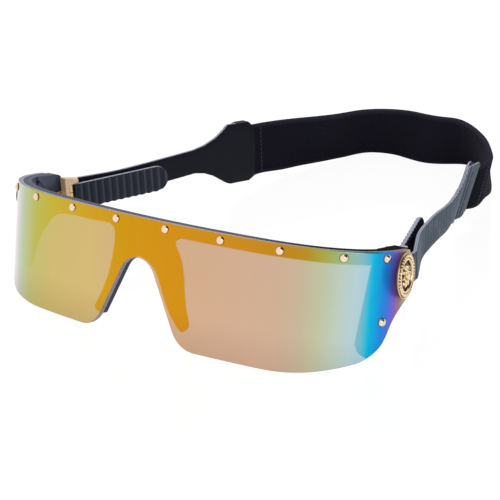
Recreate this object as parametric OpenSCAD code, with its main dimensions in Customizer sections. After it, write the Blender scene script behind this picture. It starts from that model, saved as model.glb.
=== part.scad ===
// Sunglasses. One wrapped shield lens is riveted to an inner frame that holds the nose pads.
// Two short temples fold on hinges inside the frame's cheeks. A soft strap with rubber arms
// turns on the posts of the two side medallions and passes behind the head.
// The part stands as it does on a table: on the lens's lower edge and the rear of the strap.

/* [Shield lens] */
// Height of the lens
lens_h = 36; // [33:0.5:39]
// Thickness of the lens
lens_t = 1.8; // [1.5:0.1:2.2]
// Degrees the lens leans back as it rests
lens_lean = 14.8; // [12:0.2:16]
// Radius of the lens across the nose
front_radius = 250; // [220:5:300]
// Length of the nose arc on each side
front_run = 40.5; // [36:0.5:44]
// Radius of the lens over the cheek
cheek_radius = 67.5; // [60:0.5:80]
// Length of the cheek arc
cheek_run = 15.4; // [13:0.2:17]
// Radius of the lens at the corner of the face
corner_radius = 32.6; // [30:0.2:36]
// Length of the corner arc
corner_run = 11.7; // [10:0.1:13]
// Radius of the lens at the side of the face
side_radius = 22.4; // [21:0.2:25]
// Length of the side arc
side_run = 20.4; // [19.5:0.1:22]
// Height of the nose notch
notch_h = 24; // [21:0.5:26]
// Radius at the top of the nose notch
notch_radius = 7; // [5.5:0.5:8]
// Degrees of the notch's straight flank from level
notch_slope = 63; // [58:1:68]
// Radius of the rounded corner beside the nose
lobe_radius = 9; // [7:0.5:11]
// Length of the flat lower edge under each eye
flat_run = 24; // [20:1:27]
// Radius of the lower edge where it starts to rise
rise_radius = 53; // [45:1:65]
// Depth at which the side's lower edge starts
sweep_start = 6; // [5:0.5:8]
// Height that the side's lower edge climbs
sweep_rise = 21.6; // [19:0.2:23]
// Radius of the lens's upper rear corner
rear_corner = 3; // [2:0.5:4]

/* [Inner frame] */
// Thickness of the inner frame behind the lens
frame_t = 2.4; // [2:0.1:2.8]
// Height of the brow bar
brow_h = 4.2; // [3.5:0.1:5.5]
// Width of the bridge over the nose
bridge_w = 24; // [21:0.5:27]
// Drop of the bridge's corners below the brow bar
bridge_drop = 5.8; // [4.5:0.1:7]
// Width of each nose branch at its foot
foot_w = 5; // [4:0.1:6]
// Degrees that the foot reaches round the lobe
foot_turn = 4; // [3:1:12]
// Thickness of each nose branch
branch_t = 1.6; // [1.3:0.1:2]
// Distance along the lens at which the cheek starts
cheek_start = 74; // [72:0.5:75.5]
// Length of the cheek past the lens's rear end
cheek_past = 3.2; // [2.4:0.2:4]
// Wall of the cheek inside the arm's slot
cheek_wall = 1.3; // [1:0.1:1.8]
// Length of the thick boss in front of the post
boss_front = 5; // [4.4:0.1:5.6]
// Thickness of a nose pad
pad_t = 1.2; // [1:0.1:1.6]
// Width of a nose pad
pad_w = 3.4; // [2.6:0.1:4]
// Depth to which a pad is let into the frame
pad_seat = 0.8; // [0.5:0.1:1]
// Margin between a pad and the edge of its branch
pad_margin = 0.3; // [0.2:0.1:0.6]
// Height of a pad's lower end above the lens's lower edge
pad_low = 7; // [6.5:0.5:8]

/* [Rivets] */
// Diameter of a rivet's head
rivet_d = 2; // [1.6:0.1:2.4]
// Height of a rivet's head
rivet_h = 0.7; // [0.5:0.05:0.9]
// Diameter of a rivet's shank
shank_d = 1; // [0.8:0.1:1.2]
// Distance of the upper rivets below the top edge
rivet_drop = 1.9; // [1.5:0.1:2.2]
// Depth of the head's seat in the lens
head_seat = 0.06; // [0.04:0.01:0.1]
// Distance along the lens to the first rivet
rivet_first = 9.5; // [8:0.5:11]
// Distance along the lens to the last rivet
rivet_last = 78.3; // [77.5:0.1:79]
// Height of the lower side rivet
rivet_low = 16.2; // [15.5:0.1:17.5]

/* [Medallions] */
// Distance along the lens to the post
post_run = 84.6; // [84:0.1:85]
// Height of the post above the lens's lower edge
post_h = 29; // [28.5:0.1:29.8]
// Diameter of the medallion
disc_d = 13; // [12:0.2:14]
// Thickness of the medallion's rim
disc_t = 1.2; // [1:0.1:1.6]
// Degrees the medallion faces backward
face_turn = 13; // [10:0.5:15]
// Depth of the medallion's seat at the lens's rear end
disc_seat = 0.5; // [0.3:0.1:0.7]
// Height of the medallion's middle above its rim
crown_h = 1; // [0.6:0.1:1.3]
// Diameter of the boss under the medallion
boss_d = 7; // [6:0.5:8]
// Diameter of the post where the arm turns on it
post_d = 3.2; // [2.8:0.1:3.6]
// Diameter of the post's end, which holds the nut
stud_d = 2.2; // [1.8:0.1:2.4]
// Width of the nut across its corners
nut_d = 4.4; // [4:0.1:5]
// Thickness of the nut
nut_t = 1.4; // [1:0.1:1.8]
// Petals round the medallion's middle
petals = 10; // [8:1:12]
// Beads round the medallion's rim
beads = 28; // [20:1:32]

/* [Hinges] */
// Degrees from the lens's axis to the level of the arms
arm_rise = 11.5; // [10:0.1:12.5]
// Thickness of the hinge plate on the cheek
plate_t = 1.2; // [1:0.1:1.4]
// Height of the hinge plate
plate_h = 6.6; // [6:0.2:8]
// Length of the hinge plate in front of the post
plate_front = 3.6; // [3:0.1:4.2]
// Distance from the post back to the hinge axis
hinge_back = 8.8; // [8.6:0.1:9.2]
// Diameter of the hinge barrel
barrel_d = 2.7; // [2.5:0.1:3.1]
// Height of the hinge barrel
barrel_h = 11.2; // [10.4:0.2:12]
// Diameter of the hinge screw
screw_d = 1.2; // [1:0.1:1.3]
// Diameter of the hinge screw's head
screw_head_d = 2; // [1.8:0.1:2.2]
// Thickness of the hinge screw's head
screw_head_t = 0.6; // [0.5:0.1:0.8]

/* [Temples] */
// Degrees the temples point inward when open
temple_toe = 21.5; // [20:0.5:23]
// Length of a temple from its hinge axis
temple_run = 36; // [30:1:42]
// Height of the temple grip
grip_h = 8.8; // [8:0.1:9.6]
// Thickness of the temple grip
grip_t = 1.8; // [1.6:0.1:2.1]
// Drop of the grip's lower edge below the post
grip_drop = 7.05; // [6.6:0.05:7.4]
// Length of the hinge leaf along the temple
leaf_run = 8; // [7:0.5:10]
// Height of the hinge leaf
leaf_h = 6.4; // [5.6:0.2:7]
// Thickness of the hinge leaf
leaf_t = 1; // [0.8:0.1:1.2]
// Thickness of the metal core
core_t = 0.8; // [0.6:0.1:0.9]
// Height of the metal core
core_h = 5.6; // [4.8:0.2:6.2]
// Pitch of the ribs inside the grip
rib_pitch = 2; // [1.6:0.1:2.6]
// Depth of the grooves between the ribs
rib_depth = 0.25; // [0.15:0.05:0.3]

/* [Strap arms] */
// Thickness of a strap arm
arm_t = 1.4; // [1.2:0.1:1.5]
// Height of a strap arm
arm_h = 8.5; // [8:0.1:9]
// Drop of the arm's lower edge below the post
arm_drop = 6.15; // [5.9:0.05:6.4]
// Radius of the arm's eye round the post
eye_r = 3.6; // [3.3:0.1:3.8]
// Straight length of the arm behind the post
tab_run = 11.2; // [10.8:0.2:12.4]
// Radius of the arm's bend
bend_radius = 4; // [3:0.5:6]
// Degrees of the arm's bend inward
bend_turn = 29; // [25:0.5:31]
// Straight length after the bend
slant_run = 10; // [8:0.5:12]
// Length over which the arm turns back
return_run = 11; // [9:0.5:13]
// Degrees the arm turns back
return_turn = 13.5; // [11:0.5:15]
// Length of the long rear run
rear_run = 54; // [50:1:58]
// Degrees the rear run turns back
rear_turn = 6.5; // [5:0.5:8]
// Length of the flare that holds the strap
flare_run = 27.4; // [25:0.2:30]
// Height of the flare above the arm
flare_rise = 5.6; // [4.6:0.2:6]
// Drop of the flare below the arm
flare_fall = 8.6; // [7.8:0.2:9.4]

/* [Elastic strap] */
// Width of the webbing strap
strap_h = 19.8; // [18.8:0.2:21]
// Thickness of the webbing strap
strap_t = 1.4; // [1.2:0.1:1.8]
// Length of webbing sewn to each arm
seam_run = 12; // [10:0.5:14]
// Length of one stitch
stitch_l = 1.6; // [1.2:0.1:1.8]
// Thickness of the thread
thread_d = 0.5; // [0.4:0.05:0.6]
// Stitches in a row
stitch_count = 6; // [5:1:7]
// Distance of the stitch rows from the seam's ends
stitch_margin = 1.8; // [1.4:0.1:2.2]

/* [Fit and rest] */
// Running gap beside the arms and between knuckles
run_gap = 0.15; // [0.12:0.01:0.18]
// Radial clearance of the arm's eye on its post
pivot_gap = 0.08; // [0.04:0.01:0.1]
// Radial clearance of the leaf on its screw
pin_gap = 0.05; // [0.03:0.01:0.08]
// Room in front of the arm in the cheek's slot
slot_gap = 0.5; // [0.4:0.1:0.7]
// Room for the arm's swing in the cheek's slot
swing_room = 1.1; // [1.1:0.1:1.4]
// Depth of the flats on which the part rests
rest_flat = 0.3; // [0.2:0.05:0.4]

/* [Hidden] */
$fn = 48;

// One overrun for all cuts
overrun = 5;
// Steps along one half of the lens and past its end, along the arm and round the strap's loop
lens_steps = 44;
end_steps = 4;
arm_steps = 36;
seam_steps = 6;
loop_steps = 48;
curve_steps = 12;

// Path made of runs of [length, turn]: place and heading after a distance along it
function path_at(runs, go, at = [0, 0], turned = 0, i = 0) =
    let (run = runs[i], last = i == len(runs) - 1,
         gone = last ? go : min(go, run[0]),
         half_turn = run[1] * gone / run[0] / 2,
         reach = half_turn == 0 ? gone : gone * sin(half_turn) / (half_turn * PI / 180),
         next = at + reach * [cos(turned + half_turn), sin(turned + half_turn)])
    gone == go ? [next.x, next.y, turned + 2 * half_turn]
               : path_at(runs, go - gone, next, turned + 2 * half_turn, i + 1);
// The point to the left of a place on a path
function beside(spot, off) = [spot.x - off * sin(spot[2]), spot.y + off * cos(spot[2])];
// Turn of an arc from its length and radius
function arc_turn(run, radius) = run / radius * 180 / PI;
// Points of an arc round a centre
function arc(centre, radius, from, to) =
    [for (i = [0:curve_steps]) let (a = from + (to - from) * i / curve_steps)
        centre + radius * [cos(a), sin(a)]];
// Points of a cubic curve in a box, its handles given as shares of the box
function curve(from, to, shares) =
    [for (i = [0:curve_steps]) let (t = i / curve_steps, u = 1 - t,
        share = 3 * u * u * t * shares[0] + 3 * u * t * t * shares[1] + t * t * t * [1, 1])
        from + [(to - from).x * share.x, (to - from).y * share.y]];
function mirrored(points) = [for (i = [len(points) - 1:-1:0]) [-points[i].x, points[i].y]];
function reversed(points) = [for (i = [len(points) - 1:-1:0]) points[i]];

// Plan of the lens
lens_runs = [[front_run, arc_turn(front_run, front_radius)],
             [cheek_run, arc_turn(cheek_run, cheek_radius)],
             [corner_run, arc_turn(corner_run, corner_radius)],
             [side_run, arc_turn(side_run, side_radius)]];
lens_run = front_run + cheek_run + corner_run + side_run;
lens_step = lens_run / lens_steps;
lens_end = path_at(lens_runs, lens_run);
function lens_spot(go) =
    let (spot = path_at(lens_runs, abs(go)), side = go < 0 ? -1 : 1)
    [side * spot.x, spot.y, side * spot[2]];

// Front view of the notch and the lobe beside it
notch_at = [0, notch_h - notch_radius];
flank_angle = 90 - notch_slope;
lobe_x = (lobe_radius + notch_radius - (lobe_radius - notch_at.y) * sin(flank_angle)) / cos(flank_angle);
lobe_at = [lobe_x, lobe_radius];
flat_end = lobe_x + flat_run;
lens_reach = max([for (i = [0:lens_steps]) lens_spot(i * lens_step).x]) + overrun;
foot_angle = 180 + flank_angle + foot_turn;
function notch_line(off, lobe_end) =
    concat(arc(notch_at, notch_radius + off, 90, flank_angle),
           arc(lobe_at, lobe_radius - off, 180 + flank_angle, lobe_end));
rise_angle = min(asin((lens_reach - flat_end) / rise_radius), 89);

// Side view of the lens's lower edge, as handles in shares of its depth and rise
sweep_shares = [[1, 0.43], [0.5, 0.59]];
sweep_end = [lens_end.y, sweep_rise];

// Side view of the cheek's front edge, as handles in shares of its box
cheek_shares = [[0, 0.75], [3.2, 0.35]];
cheek_foot_share = 0.25;
cheek_foot_rise_share = 1 / 3;
side_share = 0.46;
cheek_front = lens_spot(cheek_start).y;
cheek_back = lens_end.y + cheek_past;

// Front view of a nose branch's outer edge, as handles in shares of its box
branch_shares = [[0.5, 0.06], [0.79, 0.54]];

// Rivets: distances along the lens of the five upper ones on each side
rivet_shares = [0, 0.28, 0.553, 0.815, 1];
function rivet_go(share) = rivet_first + (rivet_last - rivet_first) * share;

// The post, the slot for the arm and the hinge
post_spot = lens_spot(post_run);
post_x = post_spot.x;
arm_top = arm_h - arm_drop;
slot_front = (eye_r + slot_gap + arm_drop + swing_room) / 2;
slot_out = beside(path_at(lens_runs, post_run - slot_front), lens_t).x;
tab_out = slot_out - run_gap;
slot_in = tab_out - arm_t - run_gap;
seat_x = slot_in - cheek_wall;
hinge_x = seat_x - plate_t;
boss_seat_share = 4;
boss_seat = head_seat * boss_seat_share;
rim_height_share = 0.7;
lens_end_back = (lens_end.y - post_spot.y) / cos(arm_rise)
    + rim_height_share * disc_d / 2 * tan(arm_rise);
disc_lift = lens_end_back * tan(face_turn) - disc_seat;
rim_share = 0.143;
bead_share = 0.25;
petal_share = 0.0625;
ring_share = 0.2;
rim_w = disc_d * rim_share;
bead_r = rim_w * bead_share;
petal_r = disc_d * petal_share;
petal_ring = disc_d * ring_share;
spot_r = disc_d / 2 - rim_w;
barrel_bottom = -(barrel_h + grip_h) / 2 + grip_h - grip_drop;
knuckle_h = (barrel_h - 2 * run_gap) / 3;
plate_bottom = barrel_bottom + (barrel_h - plate_h) / 2;
leaf_bottom = barrel_bottom + (barrel_h - leaf_h) / 2;
core_bottom = -grip_drop + (grip_h - core_h) / 2;
temple_end_room = barrel_d / 2 + 2 * run_gap;
grip_out = barrel_d / 2 - leaf_t;
peg_shares = [0.45, 0.8];
rib_count = floor((temple_run - temple_end_room - grip_h / 2) / rib_pitch);

// Plan of a strap arm, from its post backward, and the strap's loop behind it
arm_runs = [[tab_run, 0],
            [bend_radius * bend_turn * PI / 180, bend_turn],
            [slant_run, 0],
            [return_run, -return_turn],
            [rear_run, -rear_turn]];
arm_total = tab_run + bend_radius * bend_turn * PI / 180 + slant_run + return_run + rear_run;
function arm_spot(go) =
    let (spot = path_at(arm_runs, go, [0, 0], 90))
    [tab_out - arm_t / 2 + spot.x, spot.y, spot[2]];
arm_end = arm_spot(arm_total);
arm_end_out = beside(arm_end, -arm_t / 2);
loop_toe = arm_end[2] - 90;
loop_radius = arm_end_out.x / cos(loop_toe);
loop_y = arm_end_out.y - loop_radius * sin(loop_toe);

// The flare's outline, as shares of its length and of its rise or fall
flare_top_shares = [[0, 0], [0.18, 0.1], [0.36, 0.375], [0.47, 0.66], [0.57, 1],
                    [0.75, 0.9], [0.92, 0.8], [0.99, 0.45], [1, 0]];
flare_low_shares = [[0.96, 0.88], [0.87, 1], [0.7, 0.94], [0.56, 0.9], [0.5, 0.82],
                    [0.42, 0.64], [0.29, 0.34], [0.15, 0.12], [0, 0]];
flare_start = arm_end.y - flare_run;

// The part's rest: the lens's lower inner edge and the strap's lower rear edge touch the table
arm_lean = lens_lean - arm_rise;
low_side_share = 0.75;
function lower_edge(x) =
    let (past = max(x - flat_end, 0)) rise_radius - sqrt(rise_radius * rise_radius - past * past);
lens_low = min([for (i = [0:lens_steps * low_side_share])
    let (spot = beside(lens_spot(i * lens_step), lens_t))
    cos(lens_lean) * lower_edge(min(spot.x, flat_end + rise_radius)) - sin(lens_lean) * spot.y]);
lens_lift = -lens_low - rest_flat;
post_level = cos(lens_lean) * post_h - sin(lens_lean) * post_spot.y + lens_lift;
post_back = cos(lens_lean) * post_spot.y + sin(lens_lean) * post_h;
loop_back = loop_y + loop_radius + strap_t;
strap_bottom = (sin(arm_lean) * loop_back - post_level - rest_flat) / cos(arm_lean);
strap_top = strap_bottom + strap_h;
front_edge = min([for (spot = arc(lobe_at, lobe_radius, 180, 270))
    cos(lens_lean) * front_radius * (1 - cos(asin(spot.x / front_radius))) + sin(lens_lean) * spot.y]);
back_edge = post_back + cos(arm_lean) * loop_back + sin(arm_lean) * strap_top;
front_shift = (front_edge + back_edge) / 2;

// Places a piece that is modelled square to the lens
module lens_place() {
    translate([0, -front_shift, lens_lift]) rotate([-lens_lean, 0, 0]) children();
}
// Places a piece that is modelled level with the arms, with its origin between the posts
module arm_place() {
    lens_place() translate([0, post_spot.y, post_h]) rotate([arm_rise, 0, 0]) children();
}
module on_side(side) {
    if (side > 0) children();
    else mirror([1, 0, 0]) children();
}
// Takes off what would reach below the table
module above_table() {
    difference() {
        children();
        translate([-lens_reach, -back_edge, -lens_h]) cube([2 * lens_reach, 2 * back_edge, lens_h]);
    }
}
// Upright sheet that follows the lens's plan between two depths behind its outer face
module lens_band(near, far, steps) {
    translate([0, 0, -overrun]) linear_extrude(lens_h + 2 * overrun) polygon(concat(
        [for (i = [-steps:steps]) beside(lens_spot(i * lens_step), near)],
        [for (i = [steps:-1:-steps]) beside(lens_spot(i * lens_step), far)]));
}
// Turns a front view outline into a solid that runs back past the whole frame
module front_view() {
    translate([0, cheek_back + overrun, 0]) rotate([90, 0, 0])
        linear_extrude(cheek_back + 2 * overrun) children();
}
// Turns a side view outline of depth and height into a solid across the part
module side_view(from, to) {
    translate([from, 0, 0]) rotate([90, 0, 90]) linear_extrude(to - from) children();
}
// Sets a pin's own Z axis outward on the lens, at a distance along it and a height
module on_lens(go, up) {
    spot = lens_spot(go);
    translate([spot.x, spot.y, up]) rotate([0, 0, spot[2]]) rotate([90, 0, 0]) children();
}
// Sets a pin's own Z axis along the post's axis
module along_post() {
    rotate([0, 90, 0]) children();
}
// Sets a form's own Z axis square to the medallion, with its origin at the middle of the back
module on_face() {
    translate([post_x + disc_lift, 0, 0]) rotate([0, 0, face_turn]) along_post() children();
}
module rivet_places() {
    for (side = [-1, 1]) {
        for (share = rivet_shares) on_lens(side * rivet_go(share), lens_h - rivet_drop) children();
        on_lens(side * rivet_last, rivet_low) children();
    }
}
module rivet_cut() {
    translate([0, 0, -lens_t - frame_t - overrun]) cylinder(d = shank_d, h = lens_t + frame_t + overrun);
    translate([0, 0, -head_seat]) cylinder(d = rivet_d, h = overrun);
}
// Part of a ball, as wide as its base and as high as asked
module dome(d, h) {
    ball_r = (d * d / 4 + h * h) / (2 * h);
    intersection() {
        translate([0, 0, h - ball_r]) sphere(ball_r, $fn = 64);
        cylinder(d = d, h = h);
    }
}

module lens_front_outline() {
    right = concat(notch_line(0, 270),
                   arc([flat_end, rise_radius], rise_radius, 270, 270 + rise_angle),
                   [[lens_reach, lens_h]]);
    polygon(concat(right, mirrored(right)));
}
// Side view of the lens or the cheek, above the rising lower edge
module side_outline(back, front = -overrun) {
    polygon(concat([[front, lens_h], [front, -overrun], [sweep_start, -overrun]],
                   curve([sweep_start, 0], sweep_end, sweep_shares),
                   [[back, sweep_end.y + (back - sweep_end.x)]],
                   arc([back - rear_corner, lens_h - rear_corner], rear_corner, 0, 90)));
}
module shield_lens() {
    color([0.9, 0.6, 0.15]) above_table() lens_place() difference() {
        intersection() {
            lens_band(0, lens_t, lens_steps);
            front_view() lens_front_outline();
            side_view(-lens_reach, lens_reach) side_outline(lens_end.y + lens_t);
        }
        rivet_places() rivet_cut();
        for (side = [-1, 1]) on_side(side) translate([0, post_spot.y, post_h]) {
            post_cut();
            rotate([arm_rise, 0, 0]) on_face() cylinder(d = disc_d + 2 * run_gap, h = overrun);
        }
    }
}

// Bores for the post, which is square to the frame's side
module post_cut() {
    along_post() cylinder(d = post_d, h = post_x + overrun);
    translate([post_x - boss_seat, 0, 0]) along_post() cylinder(d = boss_d, h = overrun);
}
module branch_outline() {
    inner = notch_line(0, foot_angle);
    foot = lobe_at + (lobe_radius - foot_w) * [cos(foot_angle), sin(foot_angle)];
    corner = [bridge_w / 2, lens_h - brow_h - bridge_drop];
    right = concat(inner, curve(foot, corner, branch_shares), [[corner.x, lens_h]]);
    polygon(concat(right, mirrored(right)));
}
module cheek_outline() {
    foot = [cheek_front + cheek_past * cheek_foot_share, sweep_rise * cheek_foot_rise_share];
    intersection() {
        side_outline(cheek_back);
        polygon(concat([[cheek_front, lens_h]],
                       curve([cheek_front, lens_h - brow_h], foot, cheek_shares * [[-1, 0], [0, 1]]),
                       [[cheek_back, foot.y], [cheek_back, lens_h]]));
    }
}
// The arm's outline in side view: a strip with a round front end and an eye round the post
module arm_outline(rest) {
    middle = arm_h / 2 - arm_drop;
    meet = (eye_r * eye_r - arm_h * arm_h / 4 + middle * middle) / (2 * middle);
    front = -sqrt(eye_r * eye_r - meet * meet);
    polygon(concat(arc([0, middle], arm_h / 2, 270, atan2(meet - middle, front)),
                   arc([0, 0], eye_r, atan2(meet, front), asin(arm_top / eye_r)), rest));
}
module arm_slot() {
    high = eye_r + slot_gap;
    low = -arm_drop - swing_room;
    middle = (high + low) / 2;
    side_view(slot_in, lens_reach) polygon(concat(
        arc([0, middle], (high - low) / 2, 270, 90), [[cheek_back, high], [cheek_back, low]]));
}
module frame_solid() {
    intersection() {
        lens_band(lens_t, lens_t + frame_t, lens_steps + end_steps);
        union() {
            translate([-lens_reach, -overrun, lens_h - brow_h])
                cube([2 * lens_reach, cheek_front + 2 * overrun, brow_h]);
            for (side = [-1, 1]) on_side(side) side_view(post_x * side_share, lens_reach) cheek_outline();
        }
        side_view(-lens_reach, lens_reach) side_outline(cheek_back);
    }
    intersection() {
        lens_band(lens_t, lens_t + branch_t, lens_steps / 2);
        front_view() branch_outline();
    }
    for (side = [-1, 1]) on_side(side) intersection() {
        lens_band(lens_t, 2 * lens_t + 2 * frame_t, lens_steps + end_steps);
        side_view(seat_x, lens_reach) intersection() {
            cheek_outline();
            translate([post_spot.y - boss_front, 0]) square([cheek_back, lens_h]);
        }
    }
}
module inner_frame() {
    color([0.1, 0.11, 0.13]) lens_place() difference() {
        frame_solid();
        rivet_places() rivet_cut();
        for (side = [-1, 1]) on_side(side) {
            pad_solid();
            translate([0, post_spot.y, post_h]) {
                along_post() cylinder(d = stud_d, h = post_x);
                rotate([arm_rise, 0, 0]) {
                    arm_slot();
                    plate_room();
                }
            }
        }
    }
}

module pad_outline() {
    polygon(concat(notch_line(pad_margin, 270), reversed(notch_line(pad_margin + pad_w, 270))));
}
module pad_solid() {
    depth = lens_t + branch_t - pad_seat;
    intersection() {
        lens_band(depth, depth + pad_t, lens_steps / 2);
        front_view() intersection() {
            pad_outline();
            translate([notch_radius / 2, pad_low]) square([bridge_w, notch_h - pad_low]);
        }
    }
}
module nose_pad(side) {
    color([0.32, 0.36, 0.42]) lens_place() on_side(side) pad_solid();
}

module lens_rivets() {
    color([0.85, 0.7, 0.5]) lens_place() rivet_places() {
        translate([0, 0, -lens_t - frame_t]) cylinder(d = shank_d, h = lens_t + frame_t);
        translate([0, 0, -head_seat]) dome(rivet_d, rivet_h + head_seat);
    }
}

// The medallion is one casting: a rim with beads, petals round a domed middle, and its post
module medallion(side) {
    stud_end = hinge_x - nut_t - screw_head_t;
    color([0.85, 0.68, 0.45]) arm_place() on_side(side) {
        on_face() {
            rotate_extrude($fn = 96) polygon([
                [0, 0], [disc_d / 2, 0], [disc_d / 2, disc_t], [spot_r, disc_t],
                [spot_r - disc_t / 2, disc_t / 2], [0, disc_t / 2]]);
            for (i = [1:beads]) rotate(i * 360 / beads)
                translate([(disc_d - rim_w) / 2, 0, disc_t - bead_r / 2]) cylinder(r = bead_r, h = bead_r);
            for (i = [1:petals]) rotate(i * 360 / petals)
                translate([petal_ring, 0, disc_t / 2 - bead_r]) cylinder(r = petal_r, h = crown_h);
            translate([0, 0, disc_t / 2 - bead_r]) dome(2 * petal_ring, crown_h + disc_t / 2 + bead_r);
        }
        difference() {
            translate([post_x - boss_seat, 0, 0]) along_post() cylinder(d = boss_d, h = overrun);
            on_face() translate([-disc_d, -disc_d, 0]) cube([2 * disc_d, 2 * disc_d, 2 * overrun]);
        }
        translate([slot_in, 0, 0]) along_post() cylinder(d = post_d, h = post_x - boss_seat - slot_in);
        translate([stud_end, 0, 0]) along_post() cylinder(d = stud_d, h = slot_in - stud_end);
    }
}
module medallion_nuts() {
    color([0.85, 0.68, 0.45]) arm_place() for (side = [-1, 1]) on_side(side)
        translate([hinge_x - nut_t, 0, 0]) along_post() difference() {
            cylinder(d = nut_d, h = nut_t, $fn = 6);
            translate([0, 0, -overrun]) cylinder(d = stud_d, h = 2 * overrun);
        }
}

// Room in the cheek's inner face where the hinge plate sits flat
module plate_room() {
    translate([seat_x - overrun, -plate_front - run_gap, plate_bottom - run_gap])
        cube([overrun, hinge_back + plate_front, plate_h + 2 * run_gap]);
}
module hinge_block(side) {
    web_back = hinge_back - barrel_d / 2 - run_gap;
    color([0.85, 0.7, 0.5]) arm_place() on_side(side) difference() {
        union() {
            translate([hinge_x, -plate_front, plate_bottom])
                cube([plate_t, web_back + plate_front, plate_h]);
            for (low = [barrel_bottom, barrel_bottom + barrel_h - knuckle_h]) {
                translate([hinge_x, hinge_back, low]) cylinder(d = barrel_d, h = knuckle_h);
                translate([hinge_x, web_back - plate_t, low])
                    cube([plate_t, hinge_back - web_back + plate_t, knuckle_h]);
            }
        }
        along_post() cylinder(d = stud_d, h = lens_reach);
        translate([hinge_x, hinge_back, barrel_bottom - overrun])
            cylinder(d = screw_d, h = barrel_h + 2 * overrun);
        translate([hinge_x, hinge_back, barrel_bottom + barrel_h - screw_head_t])
            cylinder(d = screw_head_d, h = overrun);
    }
}
module hinge_screws() {
    color([0.8, 0.66, 0.48]) arm_place() for (side = [-1, 1]) on_side(side)
        translate([hinge_x, hinge_back, barrel_bottom]) {
            cylinder(d = screw_d, h = barrel_h);
            translate([0, 0, barrel_h - screw_head_t]) cylinder(d = screw_head_d, h = screw_head_t);
        }
}

// Places a temple piece: X along the temple, Y inward across it, origin on the hinge axis
module temple_place(side) {
    arm_place() on_side(side) translate([hinge_x, hinge_back, 0]) rotate([0, 0, 90 + temple_toe]) children();
}
module hinge_leaf(side) {
    color([0.85, 0.7, 0.5]) temple_place(side) difference() {
        union() {
            translate([0, 0, barrel_bottom + knuckle_h + run_gap]) {
                cylinder(d = barrel_d, h = knuckle_h);
                translate([0, -barrel_d / 2, 0]) cube([temple_end_room, leaf_t, knuckle_h]);
            }
            translate([temple_end_room, -barrel_d / 2, leaf_bottom])
                cube([leaf_run - temple_end_room, leaf_t, leaf_h]);
            leaf_pegs();
        }
        translate([0, 0, barrel_bottom - overrun])
            cylinder(d = screw_d + 2 * pin_gap, h = barrel_h + 2 * overrun);
    }
}
// Pegs that hold the leaf to the core through the grip's outer wall
module leaf_pegs() {
    for (share = peg_shares)
        translate([leaf_run * share, -barrel_d / 2 + leaf_t / 2, leaf_bottom + leaf_h / 2])
            rotate([-90, 0, 0]) cylinder(d = screw_d, h = leaf_t / 2 + (grip_t + core_t) / 2);
}
module core_bar() {
    end = temple_run - grip_h / 2;
    translate([temple_end_room, (grip_t - core_t) / 2 - grip_out, core_bottom])
        cube([end - temple_end_room, core_t, core_h]);
}
module temple_core(side) {
    color([0.6, 0.6, 0.62]) temple_place(side) difference() {
        core_bar();
        leaf_pegs();
    }
}
module temple_grip(side) {
    color([0.17, 0.19, 0.24]) temple_place(side) difference() {
        translate([0, grip_t - grip_out, -grip_drop]) rotate([90, 0, 0]) linear_extrude(grip_t) {
            translate([temple_end_room, 0]) square([temple_run - temple_end_room - grip_h / 2, grip_h]);
            translate([temple_run - grip_h / 2, grip_h / 2]) circle(grip_h / 2);
        }
        core_bar();
        leaf_pegs();
        for (i = [1:rib_count])
            translate([temple_end_room + (i - 1 / 2) * rib_pitch, grip_t - grip_out - rib_depth, 0])
                translate([0, 0, -grip_drop - overrun]) cube([rib_pitch / 2, overrun, grip_h + 2 * overrun]);
    }
}

// Distances along the arm from its tab's front to its end, with the seam's own at the end
seam_goes = [for (i = [0:seam_steps]) arm_total - seam_run * (1 - i / seam_steps)];
arm_goes = concat([for (i = [0:arm_steps - 1]) -arm_h + (seam_goes[0] + arm_h) * i / arm_steps], seam_goes);
module arm_band() {
    translate([0, 0, -arm_drop - 2 * flare_fall]) linear_extrude(arm_h + 2 * flare_fall + 2 * flare_rise)
        polygon(concat([for (go = arm_goes) beside(arm_spot(go), arm_t / 2)],
                       reversed([for (go = arm_goes) beside(arm_spot(go), -arm_t / 2)])));
}
flare_outline = concat(
    [for (s = flare_top_shares) [flare_start + flare_run * s.x, arm_top + flare_rise * s.y]],
    [for (s = flare_low_shares) [flare_start + flare_run * s.x, -arm_drop - flare_fall * s.y]]);
module strap_arm(side) {
    color([0.2, 0.22, 0.28]) arm_place() on_side(side) difference() {
        intersection() {
            arm_band();
            side_view(0, lens_reach) arm_outline(flare_outline);
        }
        along_post() cylinder(d = post_d + 2 * pivot_gap, h = lens_reach);
    }
}

// Webbing round the back, on the outer faces of the two arms
function strap_line(off) =
    let (side = [for (go = seam_goes) beside(arm_spot(go), -arm_t / 2 - off)],
         loop = [for (i = [1:loop_steps - 1])
             let (a = loop_toe + (180 - 2 * loop_toe) * i / loop_steps)
             [0, loop_y] + (loop_radius + off) * [cos(a), sin(a)]])
    concat(side, loop, mirrored(side));
module elastic_strap() {
    color([0.08, 0.08, 0.1]) above_table() arm_place() difference() {
        translate([0, 0, strap_bottom]) linear_extrude(strap_h)
            polygon(concat(strap_line(0), reversed(strap_line(strap_t))));
        stitches();
    }
}
module stitches() {
    pitch = (strap_h - 2 * stitch_margin - stitch_l) / (stitch_count - 1);
    for (side = [-1, 1], go = [arm_total - seam_run + stitch_margin, arm_total - stitch_margin],
         i = [0:stitch_count - 1]) {
        spot = arm_spot(go);
        on_side(side) translate([spot.x, spot.y, strap_bottom + stitch_margin + i * pitch])
            rotate([0, 0, spot[2]])
                translate([-thread_d / 2, -(arm_t + thread_d) / 2 - strap_t, 0])
                    cube([thread_d, thread_d, stitch_l]);
    }
}
module strap_stitches() {
    color([0.16, 0.16, 0.18]) arm_place() stitches();
}

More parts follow.
